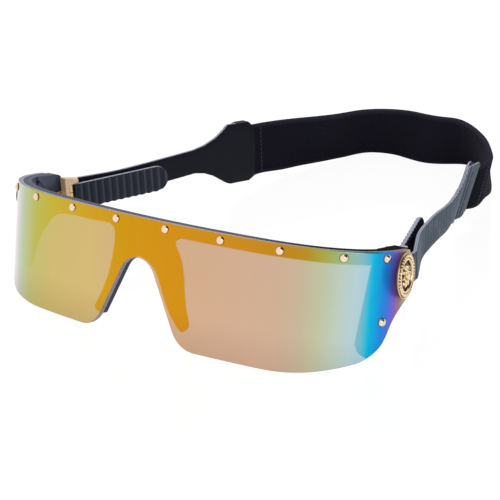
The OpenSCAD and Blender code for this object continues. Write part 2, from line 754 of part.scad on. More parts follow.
shield_lens();
inner_frame();
nose_pad(1);  // nose_pad_left
nose_pad(-1);  // nose_pad_right
lens_rivets();
medallion(1);  // medallion_left
medallion(-1);  // medallion_right
medallion_nuts();
hinge_block(1);  // hinge_block_left
hinge_block(-1);  // hinge_block_right
hinge_screws();
hinge_leaf(1);  // hinge_leaf_left
hinge_leaf(-1);  // hinge_leaf_right
temple_core(1);  // temple_core_left
temple_core(-1);  // temple_core_right
temple_grip(1);  // temple_grip_left
temple_grip(-1);  // temple_grip_right
strap_arm(1);  // strap_arm_left
strap_arm(-1);  // strap_arm_right
elastic_strap();
strap_stitches();
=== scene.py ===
from math import copysign, cos, exp, pi, radians, sin, sqrt

import bmesh
import bpy
from mathutils import Matrix, Vector
from mathutils.geometry import interpolate_bezier


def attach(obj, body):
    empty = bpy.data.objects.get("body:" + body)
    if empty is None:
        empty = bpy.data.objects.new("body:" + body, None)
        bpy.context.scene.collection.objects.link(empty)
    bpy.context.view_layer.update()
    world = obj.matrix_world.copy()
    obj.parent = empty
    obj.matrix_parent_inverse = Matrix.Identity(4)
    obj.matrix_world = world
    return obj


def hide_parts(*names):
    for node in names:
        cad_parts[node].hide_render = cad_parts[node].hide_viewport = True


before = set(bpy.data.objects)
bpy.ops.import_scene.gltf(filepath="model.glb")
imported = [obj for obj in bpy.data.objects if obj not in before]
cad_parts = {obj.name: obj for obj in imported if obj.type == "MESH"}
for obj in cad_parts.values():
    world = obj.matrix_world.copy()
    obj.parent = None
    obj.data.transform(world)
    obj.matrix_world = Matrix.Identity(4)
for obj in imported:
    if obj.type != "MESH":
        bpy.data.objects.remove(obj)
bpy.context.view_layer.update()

# Camera. It looks down a little at the glasses, from the wearer's left and a forearm's length
# away, as in the photograph.
camera = bpy.data.objects.new("camera", bpy.data.cameras.new("camera"))
bpy.context.scene.collection.objects.link(camera)
camera.data.sensor_width = 36
camera.data.lens = 116.2
camera.data.clip_start, camera.data.clip_end = 0.01, 10
camera.matrix_world = Matrix((
    (0.78225, -0.17658, 0.59742, 0.3041),
    (0.61643, 0.35802, -0.70131, -0.38241),
    (-0.09005, 0.91687, 0.38891, 0.20558),
    (0, 0, 0, 1)))
bpy.context.scene.camera = camera
bpy.context.scene.view_settings.view_transform = "Standard"

# Table and light. A white table top stands in a tent of soft white light, with a broad lamp
# above and a weaker one at the wearer's left. The table keeps only a thin shadow and a faint
# shine under the lens.


def link_object(name, mesh):
    made = bpy.data.objects.new(name, mesh)
    bpy.context.scene.collection.objects.link(made)
    return made


def node_in(tree, kind, fed=None, **settings):
    """Adds a node with its settings. What is fed to an input is a value or another node's output."""
    made = tree.nodes.new(kind if kind.startswith("NodeGroup") else "ShaderNode" + kind)
    for key, value in settings.items():
        setattr(made, key, value)
    for key, value in (fed or {}).items():
        if isinstance(value, bpy.types.NodeSocket):
            tree.links.new(value, made.inputs[key])
        else:
            made.inputs[key].default_value = value
    return made


def sums(tree, kind, first, *others):
    """A sum, product or other arithmetic of values or outputs, from the left."""
    for other in others or (0,):
        first = node_in(tree, "Math", {0: first, 1: other}, operation=kind).outputs[0]
    return first


def times(tree, *values):
    return sums(tree, "MULTIPLY", *values)


def ranged(tree, value, low, high, start=0, end=1, kind="LINEAR"):
    """A value between a start and an end, spread from low to high and held there beyond."""
    return node_in(tree, "MapRange", {"Value": value, "From Min": start, "From Max": end, "To Min": low,
                                      "To Max": high}, interpolation_type=kind).outputs[0]


def seen_apart(tree, end, unseen, shown):
    """Parts what lights the object from what the camera sees, straight or by way of metal or glass."""
    path = node_in(tree, "LightPath").outputs
    seen_ray = sums(tree, "MAXIMUM", path["Is Camera Ray"], path["Is Glossy Ray"], path["Is Transmission Ray"])
    mix = node_in(tree, "MixShader", {0: seen_ray, 1: unseen.outputs[0], 2: shown.outputs[0]})
    node_in(tree, end, {0: mix.outputs[0]})


def table_top():
    mesh = bpy.data.meshes.new("table_top")
    mesh.from_pydata([(-3, -3, 0), (3, -3, 0), (3, 3, 0), (-3, 3, 0)], [], [range(4)])
    white = bpy.data.materials.new("white table")
    white.use_nodes = True
    tree = white.node_tree
    tree.nodes.clear()
    paint = node_in(tree, "BsdfDiffuse", {"Color": (0.9, 0.9, 0.9, 1)})
    # What is seen of it: white, with a thin shadow and a faint shine
    glow = node_in(tree, "Emission", {"Strength": 0.95})
    thin = node_in(tree, "BsdfDiffuse", {"Color": (0.045, 0.045, 0.045, 1)})
    shine = node_in(tree, "BsdfGlossy", {"Color": (0.07, 0.07, 0.07, 1), "Roughness": 0.16})
    both = node_in(tree, "AddShader", {0: thin.outputs[0], 1: shine.outputs[0]})
    shown = node_in(tree, "AddShader", {0: both.outputs[0], 1: glow.outputs[0]})
    seen_apart(tree, "OutputMaterial", paint, shown)
    top = link_object("table_top", mesh)
    top.data.materials.append(white)


def surroundings():
    world = bpy.data.worlds.new("white tent")
    bpy.context.scene.world = world
    world.use_nodes = True
    tree = world.node_tree
    tree.nodes.clear()
    white = (1, 1, 1, 1)
    dim = node_in(tree, "Background", {"Color": white, "Strength": 0.6})
    # The tent is open at the top on the wearer's left, so domed metal shows a dark spot there
    where = node_in(tree, "TexCoord")
    towards = node_in(tree, "VectorMath", {0: where.outputs["Generated"], 1: (0.6, 0.3, 0.74)},
                      operation="DOT_PRODUCT")
    opening = ranged(tree, towards.outputs["Value"], 1, 0.06, 0.74, 0.86, "SMOOTHSTEP")
    bright = node_in(tree, "Background", {"Color": white, "Strength": opening})
    seen_apart(tree, "OutputWorld", dim, bright)


def soft_lamp(name, place, aim, size, power):
    lamp = bpy.data.lights.new(name, "AREA")
    lamp.shape = "RECTANGLE"
    lamp.size, lamp.size_y = size
    lamp.energy = power
    holder = link_object(name, lamp)
    holder.location = place
    holder.rotation_euler = (Vector(aim) - Vector(place)).to_track_quat("-Z", "Y").to_euler()
    return holder


table_top()
surroundings()
overhead = soft_lamp("lamp_over", (-0.15, 0.1, 0.75), (0, 0, 0), (0.7, 0.5), 1.6)
overhead.visible_glossy = False
soft_lamp("lamp_side", (0.7, -0.35, 0.4), (0, 0, 0.02), (0.4, 0.5), 0.7)

# Shield lens. One curved piece of polycarbonate, 1.8 mm thick, cut with a nose notch and swept
# up at both sides. Its outer face carries a mirror coating that runs from silver and green
# through gold to cyan, blue and purple. The lens is opaque, and what shows through it is painted
# on: the coating is painted paler where no frame lies close behind it, for the white light seen
# through the lens, and stronger where the dark frame lies behind.
LENS_H, LENS_T, LENS_LEAN = 36, 1.8, radians(14.8)
# Each run along the lens from the nose, with its radius
LENS_RUNS = ((40.5, 250), (15.4, 67.5), (11.7, 32.6), (20.4, 22.4))
LENS_END, CORNER_R, LENS_ROWS = 88, 3, 14
NOTCH_H, NOTCH_R, LOBE_R, LOBE_X, NOTCH_SLOPE = 24, 7, 9, 22.03, radians(63)
FLAT_END, RISE_R = 46.03, 53
# Lower edge of the swept side: a curve from a point to a point in side view, with its two handles
SWEEP_FROM, SWEEP_TO, SWEEP_HANDLES = Vector((6, 0)), Vector((32.13, 21.6)), ((32.13, 9.288), (19.065, 12.744))
# Turns millimetres in the lens's own directions into metres in the shared frame
LENS_PLACE = (Matrix.Translation((0, -0.081734, 0.00147464)) @ Matrix.Rotation(-LENS_LEAN, 4, "X")
              @ Matrix.Scale(0.001, 4))
# Millimetres across the lens's UV map and the shader's curves, and from the nose to the colours' ends
LENS_SPAN, CURVE_SPAN, RAMP_END = 200, 100, 90


def walk(runs, go, at, turned):
    """Place and heading at a distance along a line of arcs, each a length with its turn; the last one goes on."""
    for i, (run, turn) in enumerate(runs):
        step = go if i == len(runs) - 1 else min(go, run)
        part = turn * step / run
        reach = step if abs(part) < 1e-9 else step * sin(part / 2) / (part / 2)
        at = at + reach * Vector((cos(turned + part / 2), sin(turned + part / 2)))
        turned += part
        go -= step
        if go <= 0:
            break
    return at, turned


def lens_spot(go):
    """Place and heading on the lens's outer face in plan, at a distance along it from the nose."""
    spot, turned = walk([(run, run / radius) for run, radius in LENS_RUNS], abs(go), Vector((0, 0)), 0)
    side = -1 if go < 0 else 1
    return Vector((side * spot.x, spot.y)), side * turned


def beside_lens(go, depth):
    """A place in plan at a depth behind the lens's outer face."""
    spot, turned = lens_spot(go)
    return spot + depth * Vector((-sin(turned), cos(turned)))


def along_points(points, at):
    """Height of a line of points, read at a distance; past its ends the line goes on level."""
    if at <= points[0][0]:
        return points[0][1]
    for (a, u), (b, v) in zip(points, points[1:]):
        if at <= b:
            return u + (v - u) * (at - a) / (b - a)
    return points[-1][1]


SWEEP_LINE = interpolate_bezier(SWEEP_FROM, *SWEEP_HANDLES, SWEEP_TO, 25)


def notch_edge(x):
    """Lower edge of the lens in front view at a distance from the middle."""
    x = abs(x)
    flank = pi / 2 - NOTCH_SLOPE
    top_x, top_z = NOTCH_R * cos(flank), NOTCH_H - NOTCH_R + NOTCH_R * sin(flank)
    low_x, low_z = LOBE_X - LOBE_R * cos(flank), LOBE_R - LOBE_R * sin(flank)
    if x <= top_x:
        return NOTCH_H - NOTCH_R + sqrt(NOTCH_R ** 2 - x * x)
    if x <= low_x:
        return top_z + (low_z - top_z) * (x - top_x) / (low_x - top_x)
    if x <= LOBE_X:
        return LOBE_R - sqrt(LOBE_R ** 2 - (LOBE_X - x) ** 2)
    if x <= FLAT_END:
        return 0
    return RISE_R - sqrt(max(RISE_R ** 2 - (x - FLAT_END) ** 2, 0))


def lens_low(go, depth):
    """Height of the lens's lower edge: the notch and lobes, or the swept side where it is higher."""
    spot = beside_lens(go, depth)
    side = along_points(SWEEP_LINE, spot.y) if spot.y > SWEEP_FROM[0] else 0
    if spot.y > SWEEP_TO[0]:
        side = SWEEP_TO[1] + spot.y - SWEEP_TO[0]
    return max(notch_edge(spot.x), side)


def lens_high(go, depth):
    """Height of the lens's upper edge, rounded down at its two ends."""
    over = beside_lens(go, depth).y - (SWEEP_TO[0] + LENS_T - CORNER_R)
    if over <= 0:
        return LENS_H
    return LENS_H - CORNER_R + sqrt(max(CORNER_R ** 2 - over * over, 0))


def smooth(obj, angle=40):
    """Shades an object smooth, with its sharper edges kept."""
    mesh = obj.data
    mesh.polygons.foreach_set("use_smooth", [True] * len(mesh.polygons))
    edges = bmesh.new()
    edges.from_mesh(mesh)
    for edge in edges.edges:
        edge.smooth = len(edge.link_faces) == 2 and edge.calc_face_angle(0) < radians(angle)
    edges.to_mesh(mesh)
    edges.free()


def round_edges(obj, width, segments=2):
    """Rounds an object's edges by a width in millimetres."""
    made = obj.modifiers.new("rounded edges", "BEVEL")
    made.width = width / 1000
    made.segments = segments
    made.limit_method = "ANGLE"
    made.angle_limit = radians(35)
    made.miter_outer = "MITER_ARC"
    tidy = obj.modifiers.new("even shading", "WEIGHTED_NORMAL")
    tidy.keep_sharp = True


def lens_mesh():
    """The lens as two skins with cut edges between them; finer steps near the nose."""
    stations, go = [], -LENS_END
    while go < LENS_END - 0.01:
        stations.append(go)
        go += 0.5 if abs(go) < 26 else 1
    stations.append(LENS_END)
    verts, uvs, faces = [], [], []
    for depth in (0, LENS_T):
        for go in stations:
            low, high, spot = lens_low(go, depth), lens_high(go, depth), beside_lens(go, depth)
            for j in range(LENS_ROWS + 1):
                up = low + (high - low) * j / LENS_ROWS
                verts.append((*spot, up))
                uvs.append((0.5 + go / LENS_SPAN, up / LENS_SPAN))
    last = len(stations) - 1

    def lay(slot, *corners):
        faces.append(([(skin * (last + 1) + i) * (LENS_ROWS + 1) + j for i, j, skin in corners], slot))

    for i in range(last):
        for j in range(LENS_ROWS):
            lay(0, (i, j, 0), (i + 1, j, 0), (i + 1, j + 1, 0), (i, j + 1, 0))
            lay(1, (i, j, 1), (i, j + 1, 1), (i + 1, j + 1, 1), (i + 1, j, 1))
        lay(2, (i, 0, 0), (i, 0, 1), (i + 1, 0, 1), (i + 1, 0, 0))
        lay(2, (i, LENS_ROWS, 0), (i + 1, LENS_ROWS, 0), (i + 1, LENS_ROWS, 1), (i, LENS_ROWS, 1))
    for j in range(LENS_ROWS):
        lay(2, (0, j, 0), (0, j + 1, 0), (0, j + 1, 1), (0, j, 1))
        lay(2, (last, j, 0), (last, j, 1), (last, j + 1, 1), (last, j + 1, 0))
    mesh = bpy.data.meshes.new("shield_lens")
    mesh.from_pydata(verts, [], [corners for corners, slot in faces])
    layer = mesh.uv_layers.new(name="lens")
    for loop in mesh.loops:
        layer.data[loop.index].uv = uvs[loop.vertex_index]
    mesh.polygons.foreach_set("material_index", [slot for corners, slot in faces])
    mesh.transform(LENS_PLACE)
    return mesh


def plain_material(name, colour, roughness, metallic=0.0, **sockets):
    """A Principled material, with more sockets named by underscores for spaces."""
    made = bpy.data.materials.new(name)
    made.use_nodes = True
    shader = made.node_tree.nodes["Principled BSDF"]
    sockets.update(Base_Color=(*colour, 1), Roughness=roughness, Metallic=metallic)
    for key, value in sockets.items():
        shader.inputs[key.replace("_", " ")].default_value = value
    return made, made.node_tree, shader


def seen(red, green, blue):
    """A colour as it shows on a screen, turned into the shader's linear numbers."""
    return tuple((c / 12.92 if c <= 0.04045 else ((c + 0.055) / 1.055) ** 2.4)
                 for c in (red / 255, green / 255, blue / 255))


def ramp(tree, go, stops):
    """Colours along the lens, from millimetres beside the nose."""
    made = node_in(tree, "ValToRGB", {0: ranged(tree, go, 0, 1, -RAMP_END, RAMP_END)})
    points = made.color_ramp.elements
    while len(points) < len(stops):
        points.new(0.5)
    for point, (at, colour) in zip(points, stops):
        point.position = (at + RAMP_END) / (2 * RAMP_END)
        point.color = (*seen(*colour), 1)
    return made.outputs[0]


def line_over(tree, source, points):
    """Reads a line of points, in millimetres, with a curve node."""
    made = node_in(tree, "FloatCurve", {"Value": sums(tree, "DIVIDE", source, CURVE_SPAN)})
    line = made.mapping.curves[0]
    while len(line.points) < len(points):
        line.points.new(0.5, 0.5)
    for point, (at, value) in zip(line.points, points):
        point.location = (at / CURVE_SPAN, value / CURVE_SPAN)
        point.handle_type = "VECTOR"
    made.mapping.update()
    return times(tree, made.outputs[0], CURVE_SPAN)


def past(tree, value, line, soft):
    """1 where a value lies past a line, 0 before it, with a soft border."""
    return ranged(tree, sums(tree, "SUBTRACT", value, line), 0, 1, -soft, soft, "SMOOTHSTEP")


def mixed(tree, share, first, second, blend="MIX"):
    """Two colours, plain or from other nodes, mixed by a share."""
    fed = {0: share, 6: first, 7: second}
    fed = {key: (*value, 1) if isinstance(value, tuple) else value for key, value in fed.items()}
    return node_in(tree, "Mix", fed, data_type="RGBA", blend_type=blend).outputs[2]


def darkened(tree, colour, by):
    return mixed(tree, 1.0, colour, by, "MULTIPLY")


def own_place(tree):
    return node_in(tree, "TexCoord").outputs["Object"]


def noise(tree, scale, detail=2):
    """Cloudy noise through the object's own space."""
    return node_in(tree, "TexNoise", {"Vector": own_place(tree), "Scale": scale, "Detail": detail}).outputs[0]


def spread(tree, uv_map):
    """The two parts of a UV map, along and up."""
    spot = node_in(tree, "UVMap", uv_map=uv_map)
    return node_in(tree, "SeparateXYZ", {0: spot.outputs[0]}).outputs


def along_lens(tree, parts):
    """Millimetres along the lens from the nose."""
    return times(tree, sums(tree, "SUBTRACT", parts[0], 0.5), LENS_SPAN)


def dressed(tree, shader, colour, rough=None, height=None, strength=0.2, depth=0.1):
    """Feeds a shader its colour and roughness, and a bump of a depth in millimetres."""
    tree.links.new(colour, shader.inputs["Base Color"])
    if rough is not None:
        tree.links.new(rough, shader.inputs["Roughness"])
    if height is not None:
        bump = node_in(tree, "Bump", {"Height": height, "Strength": strength, "Distance": depth / 1000})
        tree.links.new(bump.outputs[0], shader.inputs["Normal"])


def mirror_coating():
    coat, tree, shader = plain_material("mirror coating", (0.8, 0.5, 0.1), 0.12, 1.0, Specular_IOR_Level=0.3)
    parts = spread(tree, "lens")
    go = along_lens(tree, parts)
    up = times(tree, parts[1], LENS_SPAN)
    strong = ramp(tree, go, (
        (-70, (208, 206, 210)), (-62, (198, 200, 196)), (-56, (180, 192, 152)), (-48, (183, 182, 78)),
        (-40, (196, 177, 56)), (-24, (206, 163, 36)), (-8, (208, 152, 22)), (10, (212, 146, 24)),
        (36, (205, 141, 32)), (51, (195, 136, 32)), (56, (184, 147, 40)), (61, (168, 172, 80)),
        (65, (156, 183, 130)), (70, (140, 183, 184)), (72, (110, 182, 200)), (74, (14, 180, 218)),
        (76, (2, 168, 228)), (78, (2, 148, 246)), (80, (68, 126, 240)), (82, (144, 98, 222)), (84, (166, 130, 122)),
        (87, (200, 184, 158))))
    pale = ramp(tree, go, (
        (-70, (210, 208, 212)), (-62, (202, 202, 200)), (-56, (185, 192, 156)), (-49, (190, 185, 108)),
        (-38, (204, 184, 110)), (-20, (210, 183, 118)), (4, (212, 174, 134)), (36, (212, 175, 147)),
        (49, (209, 178, 150)), (55, (200, 184, 155)), (60, (192, 196, 162)), (65, (188, 203, 188)),
        (69, (180, 204, 209)), (74, (160, 202, 218)), (80, (170, 170, 210)), (88, (175, 165, 160))))
    # Painted see-through light: the stronger colours where the brow bar, the nose branches and the cheeks lie close
    # behind the lens, the paler ones elsewhere
    brow = past(tree, up, ranged(tree, go, 31.9, 32.4, -23, -11), 0.25)
    other_way = times(tree, go, -1)
    left_nose = line_over(tree, up, (
        (0, 0), (4.4, 0), (5, 14.8), (5.5, 16), (6.4, 16.6), (8.7, 15.3), (12.5, 13.3), (17.6, 11.3), (22.5, 10.2),
        (26.6, 9.7), (30, 9.7), (31.4, 10.2), (32.3, 12)))
    right_nose = line_over(tree, up, (
        (0, 0), (4.6, 0), (5.2, 17.6), (6.4, 19.4), (7.6, 20.2), (9.2, 20), (12.9, 18.8), (17, 18), (21.7, 17.4),
        (25.2, 16.6), (28.1, 15.2), (30.1, 13.9), (31.4, 13.7), (32.4, 15.5)))
    right_strip = line_over(tree, up, (
        (0, 19), (5.2, 17.6), (6.7, 15.7), (9.8, 13), (13, 11.1), (16, 9.7), (19.4, 8.2), (21.1, 7.1), (22.6, 5.6),
        (24, 3.4), (24.8, 0)))
    middle = past(tree, other_way, -0.01, 0.02)
    left_branch = times(tree, past(tree, left_nose, other_way, 0.25), middle)
    right_branch = times(tree, past(tree, right_nose, go, 0.25), past(tree, go, right_strip, 0.2),
                        sums(tree, "SUBTRACT", 1, middle))
    cheek = line_over(tree, up, ((0, 90), (5, 77), (6.4, 73.5), (7.6, 71.6), (10, 70.4), (13, 70.7), (32, 73.2)))
    far = line_over(tree, up, (
        (0, 90), (10.4, 90), (10.8, 54.2), (11.6, 49.6), (12.8, 47.9), (17.5, 46.5), (21, 44.8), (23.9, 42.9),
        (27.5, 39.9), (29.5, 37.8), (30.8, 35.6), (31.6, 32), (31.9, 28)))
    painted_see_through_mask = sums(tree, "MAXIMUM", brow, left_branch, right_branch, past(tree, go, cheek, 0.3),
                  past(tree, other_way, far, 0.3))
    tint = mixed(tree, painted_see_through_mask, pale, strong)
    # A little browner towards the table, and faintly clouded
    low = ranged(tree, up, 0.9, 0, 0, 11)
    tint = mixed(tree, low, tint, darkened(tree, tint, seen(235, 230, 232)))
    cloud = noise(tree, 60, 3)
    tint = mixed(tree, ranged(tree, cloud, 0, 0.16), tint, darkened(tree, tint, (0.9, 0.9, 0.92)))
    # Duller where it turns back at the wearer's left
    turned_back = past(tree, go, 76, 2.5)
    dull = times(tree, turned_back, 0.24)
    dressed(tree, shader, tint, sums(tree, "ADD", ranged(tree, cloud, 0.09, 0.17), dull))
    tree.links.new(sums(tree, "SUBTRACT", 1, times(tree, turned_back, 0.8)), shader.inputs["Metallic"])
    return coat


def smoke_back():
    back, tree, shader = plain_material("smoked inner face", (0.03, 0.022, 0.015), 0.12, Coat_Weight=0.5)
    cloud = noise(tree, 90)
    dressed(tree, shader, mixed(tree, cloud, seen(66, 48, 30), seen(84, 60, 34)), ranged(tree, cloud, 0.08, 0.18))
    return back


def cut_edge():
    edge, tree, shader = plain_material("cut lens edge", (0.6, 0.5, 0.4), 0.4, Specular_IOR_Level=0.2)
    # Painted light: the colours along the clear cut edge stand for the coating's tints and the light seen through the
    # edge
    glow = ramp(tree, along_lens(tree, spread(tree, "lens")), (
        (-88, (176, 172, 190)), (-50, (150, 152, 168)), (-10, (178, 166, 172)), (30, (206, 178, 164)),
        (60, (168, 166, 160)), (72, (90, 130, 160)), (84, (130, 128, 140))))
    cloud = noise(tree, 700)
    dressed(tree, shader, mixed(tree, cloud, glow, darkened(tree, glow, (0.5, 0.5, 0.55))), None, cloud)
    return edge


def hand_over(made, body, node, slot, *materials):
    """Gives a piece its materials and its body, and hides the CAD node that it stands for. Its finish, slot, is not
    used.
    """
    for material in materials:
        made.data.materials.append(material)
    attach(made, body)
    if node:
        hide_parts(node)


shield = link_object("mirrored_lens", lens_mesh())
smooth(shield)
round_edges(shield, 0.3, 3)
hand_over(shield, "frame", "shield_lens", "lens", mirror_coating(), smoke_back(), cut_edge())

# Inner frame and nose pads. An injection-moulded frame in dark slate plastic follows the lens
# behind its top edge, runs down both sides of the nose and ends in two cheeks. A soft rubber
# pad is let into each nose branch.


def grain_group():
    """Moulded plastic or rubber: a fine even grain, slow changes of colour, and pale sharp edges that are partly
    scuffed and partly a painted highlight.
    """
    group = bpy.data.node_groups.new("moulded grain", "ShaderNodeTree")
    for way, kind, names in (("INPUT", "Color", ("Colour", "Scuff And Sheen Colour")),
                             ("INPUT", "Float", ("Grain Size", "Unevenness", "Scuff And Sheen Share", "Smoothest", "Roughest")),
                             ("OUTPUT", "Color", ("Colour",)), ("OUTPUT", "Float", ("Roughness", "Height"))):
        for name in names:
            group.interface.new_socket(name, in_out=way, socket_type="NodeSocket" + kind)
    given = node_in(group, "NodeGroupInput").outputs
    fine = noise(group, sums(group, "DIVIDE", 1000, given["Grain Size"]))
    slow = noise(group, 120, 4)
    shade = ranged(group, times(group, sums(group, "ADD", fine, slow), 0.5), 0, 1, 0.3, 0.7)
    body = mixed(group, times(group, shade, given["Unevenness"]), given["Colour"],
                 darkened(group, given["Colour"], (0.55, 0.55, 0.58)))
    edge = node_in(group, "NewGeometry")
    # Pale sharp edges: partly scuffs, partly a painted highlight along them
    scuff_and_sheen = times(group, past(group, edge.outputs["Pointiness"], 0.56, 0.05), given["Scuff And Sheen Share"], slow)
    node_in(group, "NodeGroupOutput", {"Colour": mixed(group, scuff_and_sheen, body, given["Scuff And Sheen Colour"]),
                                       "Roughness": ranged(group, fine, given["Smoothest"], given["Roughest"]),
                                       "Height": fine})
    return group


MOULDED = grain_group()


def moulded(name, colour, scuff_and_sheen_colour, smoothest, roughest, size, uneven, scuff_and_sheen_share, depth, shine=0.5):
    """A moulded material. Its grain's size and depth are in millimetres."""
    made, tree, shader = plain_material(name, colour, roughest, Specular_IOR_Level=shine)
    grain = node_in(tree, "Group", {
        "Colour": (*colour, 1), "Scuff And Sheen Colour": (*scuff_and_sheen_colour, 1), "Grain Size": size, "Unevenness": uneven,
        "Scuff And Sheen Share": scuff_and_sheen_share, "Smoothest": smoothest, "Roughest": roughest}, node_tree=MOULDED).outputs
    dressed(tree, shader, grain["Colour"], grain["Roughness"], grain["Height"], 0.35, depth)
    return made


def rounded_copy(name, node, width, material, body, slot, segments=2):
    """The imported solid's own form, its facets joined and its edges rounded."""
    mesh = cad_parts[node].data.copy()
    mesh.materials.clear()
    form = bmesh.new()
    form.from_mesh(mesh)
    bmesh.ops.remove_doubles(form, verts=form.verts, dist=1e-6)
    bmesh.ops.dissolve_limit(form, angle_limit=radians(0.6), verts=form.verts, edges=form.edges)
    form.to_mesh(mesh)
    form.free()
    made = link_object(name, mesh)
    smooth(made, 30)
    round_edges(made, width, segments)
    hand_over(made, body, node, slot, material)


def base_of(material):
    """A material's tree, its Base Color socket and what feeds that now."""
    tree = material.node_tree
    base = tree.nodes["Principled BSDF"].inputs["Base Color"]
    return tree, base, base.links[0].from_socket


frame_plastic = moulded("slate frame plastic", seen(72, 78, 98), seen(140, 146, 164), 0.38, 0.5, 0.5, 0.5, 0.5, 0.008,
                        0.05)
# Painted shade: the plastic's colour is darkened towards the wearer's left, where the frame lies in shade, and it is
# duller there
tree, base, plain = base_of(frame_plastic)
gloss = tree.nodes["Principled BSDF"].inputs["Roughness"]
across = node_in(tree, "SeparateXYZ", {0: own_place(tree)})
painted_shade_left = past(tree, across.outputs[0], 0.048, 0.016)
tree.links.new(mixed(tree, painted_shade_left, plain, seen(10, 11, 16)), base)
tree.links.new(sums(tree, "ADD", gloss.links[0].from_socket, times(tree, painted_shade_left, 0.4)), gloss)
pad_rubber = moulded("nose pad rubber", seen(184, 186, 212), seen(206, 208, 224), 0.45, 0.6, 0.35, 0.4, 0.3, 0.015,
                     0.25)
rounded_copy("moulded_frame", "inner_frame", 0.22, frame_plastic, "frame", "frame", 3)
for side in ("left", "right"):
    rounded_copy("soft_nose_pad_" + side, "nose_pad_" + side, 0.3, pad_rubber, "frame", "pad", 3)

# Rivets. Twelve brass rivets with polished domed heads, plated pale gold, hold the lens to the
# frame: ten along the brow and one low at each side.
RIVET_D, RIVET_H = 2.6, 0.95
RIVET_DROP, RIVET_GOES, RIVET_LOW = 1.9, (9.5, 28.76, 47.55, 65.57, 78.3), 16.2
# Height on a dome where the painted shade at its foot begins, and over how much height it fades in
FOOT_TOP, FOOT_FADE = 0.34, 0.26


def gilt(name, colour, recess_shade, smoothest, roughest, scratch=900, deep_shade=None):
    """Plated metal: polished, with fine scratches and painted shade in its hollows."""
    made, tree, shader = plain_material(name, colour, roughest, 1.0)
    fine = noise(tree, scratch, 4)
    edge = node_in(tree, "NewGeometry")
    # Painted shade: darker in hollows, and darker still where a depth mark is set
    hollow = sums(tree, "SUBTRACT", 1, past(tree, edge.outputs["Pointiness"], 0.47, 0.04))
    shown = mixed(tree, hollow, mixed(tree, fine, colour, darkened(tree, colour, (0.86, 0.8, 0.74))), recess_shade)
    if deep_shade:
        depth = node_in(tree, "Attribute", attribute_name="depth")
        shown = mixed(tree, depth.outputs["Fac"], shown, deep_shade)
    dressed(tree, shader, shown, ranged(tree, fine, smoothest, roughest), fine, 0.15, 0.02)
    return made


def on_lens(go, up):
    """A pin's place on the lens, its own Z axis outward, in the lens's millimetres."""
    spot, turned = lens_spot(go)
    return (Matrix.Translation((spot.x, spot.y, up)) @ Matrix.Rotation(turned, 4, "Z")
            @ Matrix.Rotation(pi / 2, 4, "X"))


def turned_form(profile, steps=32):
    """A form turned on a lathe round Z, from points of radius and height; both ends are on the axis or closed."""
    form = bmesh.new()
    turns = [2 * pi * i / steps for i in range(steps)]
    rings = [[form.verts.new((radius * cos(a), radius * sin(a), height)) for a in (turns if radius > 0 else [0])]
             for radius, height in profile]
    for lower, upper in zip(rings, rings[1:]):
        for i in range(steps):
            k = (i + 1) % steps
            corners = [lower[i % len(lower)], lower[k % len(lower)], upper[k % len(upper)], upper[i % len(upper)]]
            form.faces.new(list(dict.fromkeys(corners)))
    for ring in (rings[0], rings[-1]):
        if len(ring) > 1:
            form.faces.new(ring)
    bmesh.ops.recalc_face_normals(form, faces=form.faces)
    return form


def add_form(target, form, place):
    """Adds a form to a mesh being built, at a place, and drops the form."""
    form.transform(place)
    part = bpy.data.meshes.new("part")
    form.to_mesh(part)
    form.free()
    target.from_mesh(part)
    bpy.data.meshes.remove(part)


def finish_mesh(name, form, place, angle=40):
    """Makes a form an object at its place in the shared frame."""
    mesh = bpy.data.meshes.new(name)
    form.to_mesh(mesh)
    form.free()
    mesh.transform(place)
    made = link_object(name, mesh)
    smooth(made, angle)
    return made


def mark(obj, name, share):
    """Keeps a share from 0 to 1 on each point of an object, worked out from its place."""
    marks = obj.data.attributes.new(name, "FLOAT", "POINT")
    for i, point in enumerate(obj.data.vertices):
        marks.data[i].value = min(max(share(point.co), 0), 1)


pale_gold = gilt("pale gold plating", seen(250, 226, 200), seen(110, 70, 45), 0.08, 0.16,
                 deep_shade=seen(70, 44, 30))
# Each head is a cap of a ball, over a plain shank
ball = (RIVET_D ** 2 / 4 + RIVET_H ** 2) / (2 * RIVET_H)
dome = [(0, RIVET_H)]
for i in range(1, 9):
    radius = RIVET_D / 2 * sin(pi / 2 * i / 8)
    dome.append((radius, RIVET_H - ball + sqrt(ball * ball - radius * radius)))
dome += [(RIVET_D / 2 + 0.04, -0.05), (0.5, -0.06), (0.5, -4.2), (0, -4.2)]
rivet_places = [on_lens(side * go, up) for side in (-1, 1)
                for go, up in [(go, LENS_H - RIVET_DROP) for go in RIVET_GOES] + [(RIVET_GOES[-1], RIVET_LOW)]]
rivets = bmesh.new()
for place in rivet_places:
    add_form(rivets, turned_form(dome), place)


def foot_shade_share(point):
    """1 at the foot of the nearest dome, where painted shade darkens the plating, and 0 on the dome."""
    near = min((((LENS_PLACE @ place).inverted() @ point) for place in rivet_places), key=lambda p: p.to_2d().length)
    return (FOOT_TOP - near.z) / FOOT_FADE


rivet_set = finish_mesh("domed_rivets", rivets, LENS_PLACE)
mark(rivet_set, "depth", foot_shade_share)
hand_over(rivet_set, "frame", "lens_rivets", "gold", pale_gold)

# Medallions and their nuts. A cast rosette on each side, gold plated: a cabled rim, a sunk
# ring, and petals round a domed middle. Its post runs through the lens and the strap arm's
# eye, and a nut holds it inside.
POST_UP, POST_Y, POST_X = 29, 28.736, 72.0106
FACE_TURN, DISC_LIFT, DISC_D = radians(13), 0.5139, 13
CABLE_BEADS, PETALS = 36, 10
ARM_RISE = radians(11.5)
ARM_PLACE = LENS_PLACE @ Matrix.Translation((0, POST_Y, POST_UP)) @ Matrix.Rotation(ARM_RISE, 4, "X")


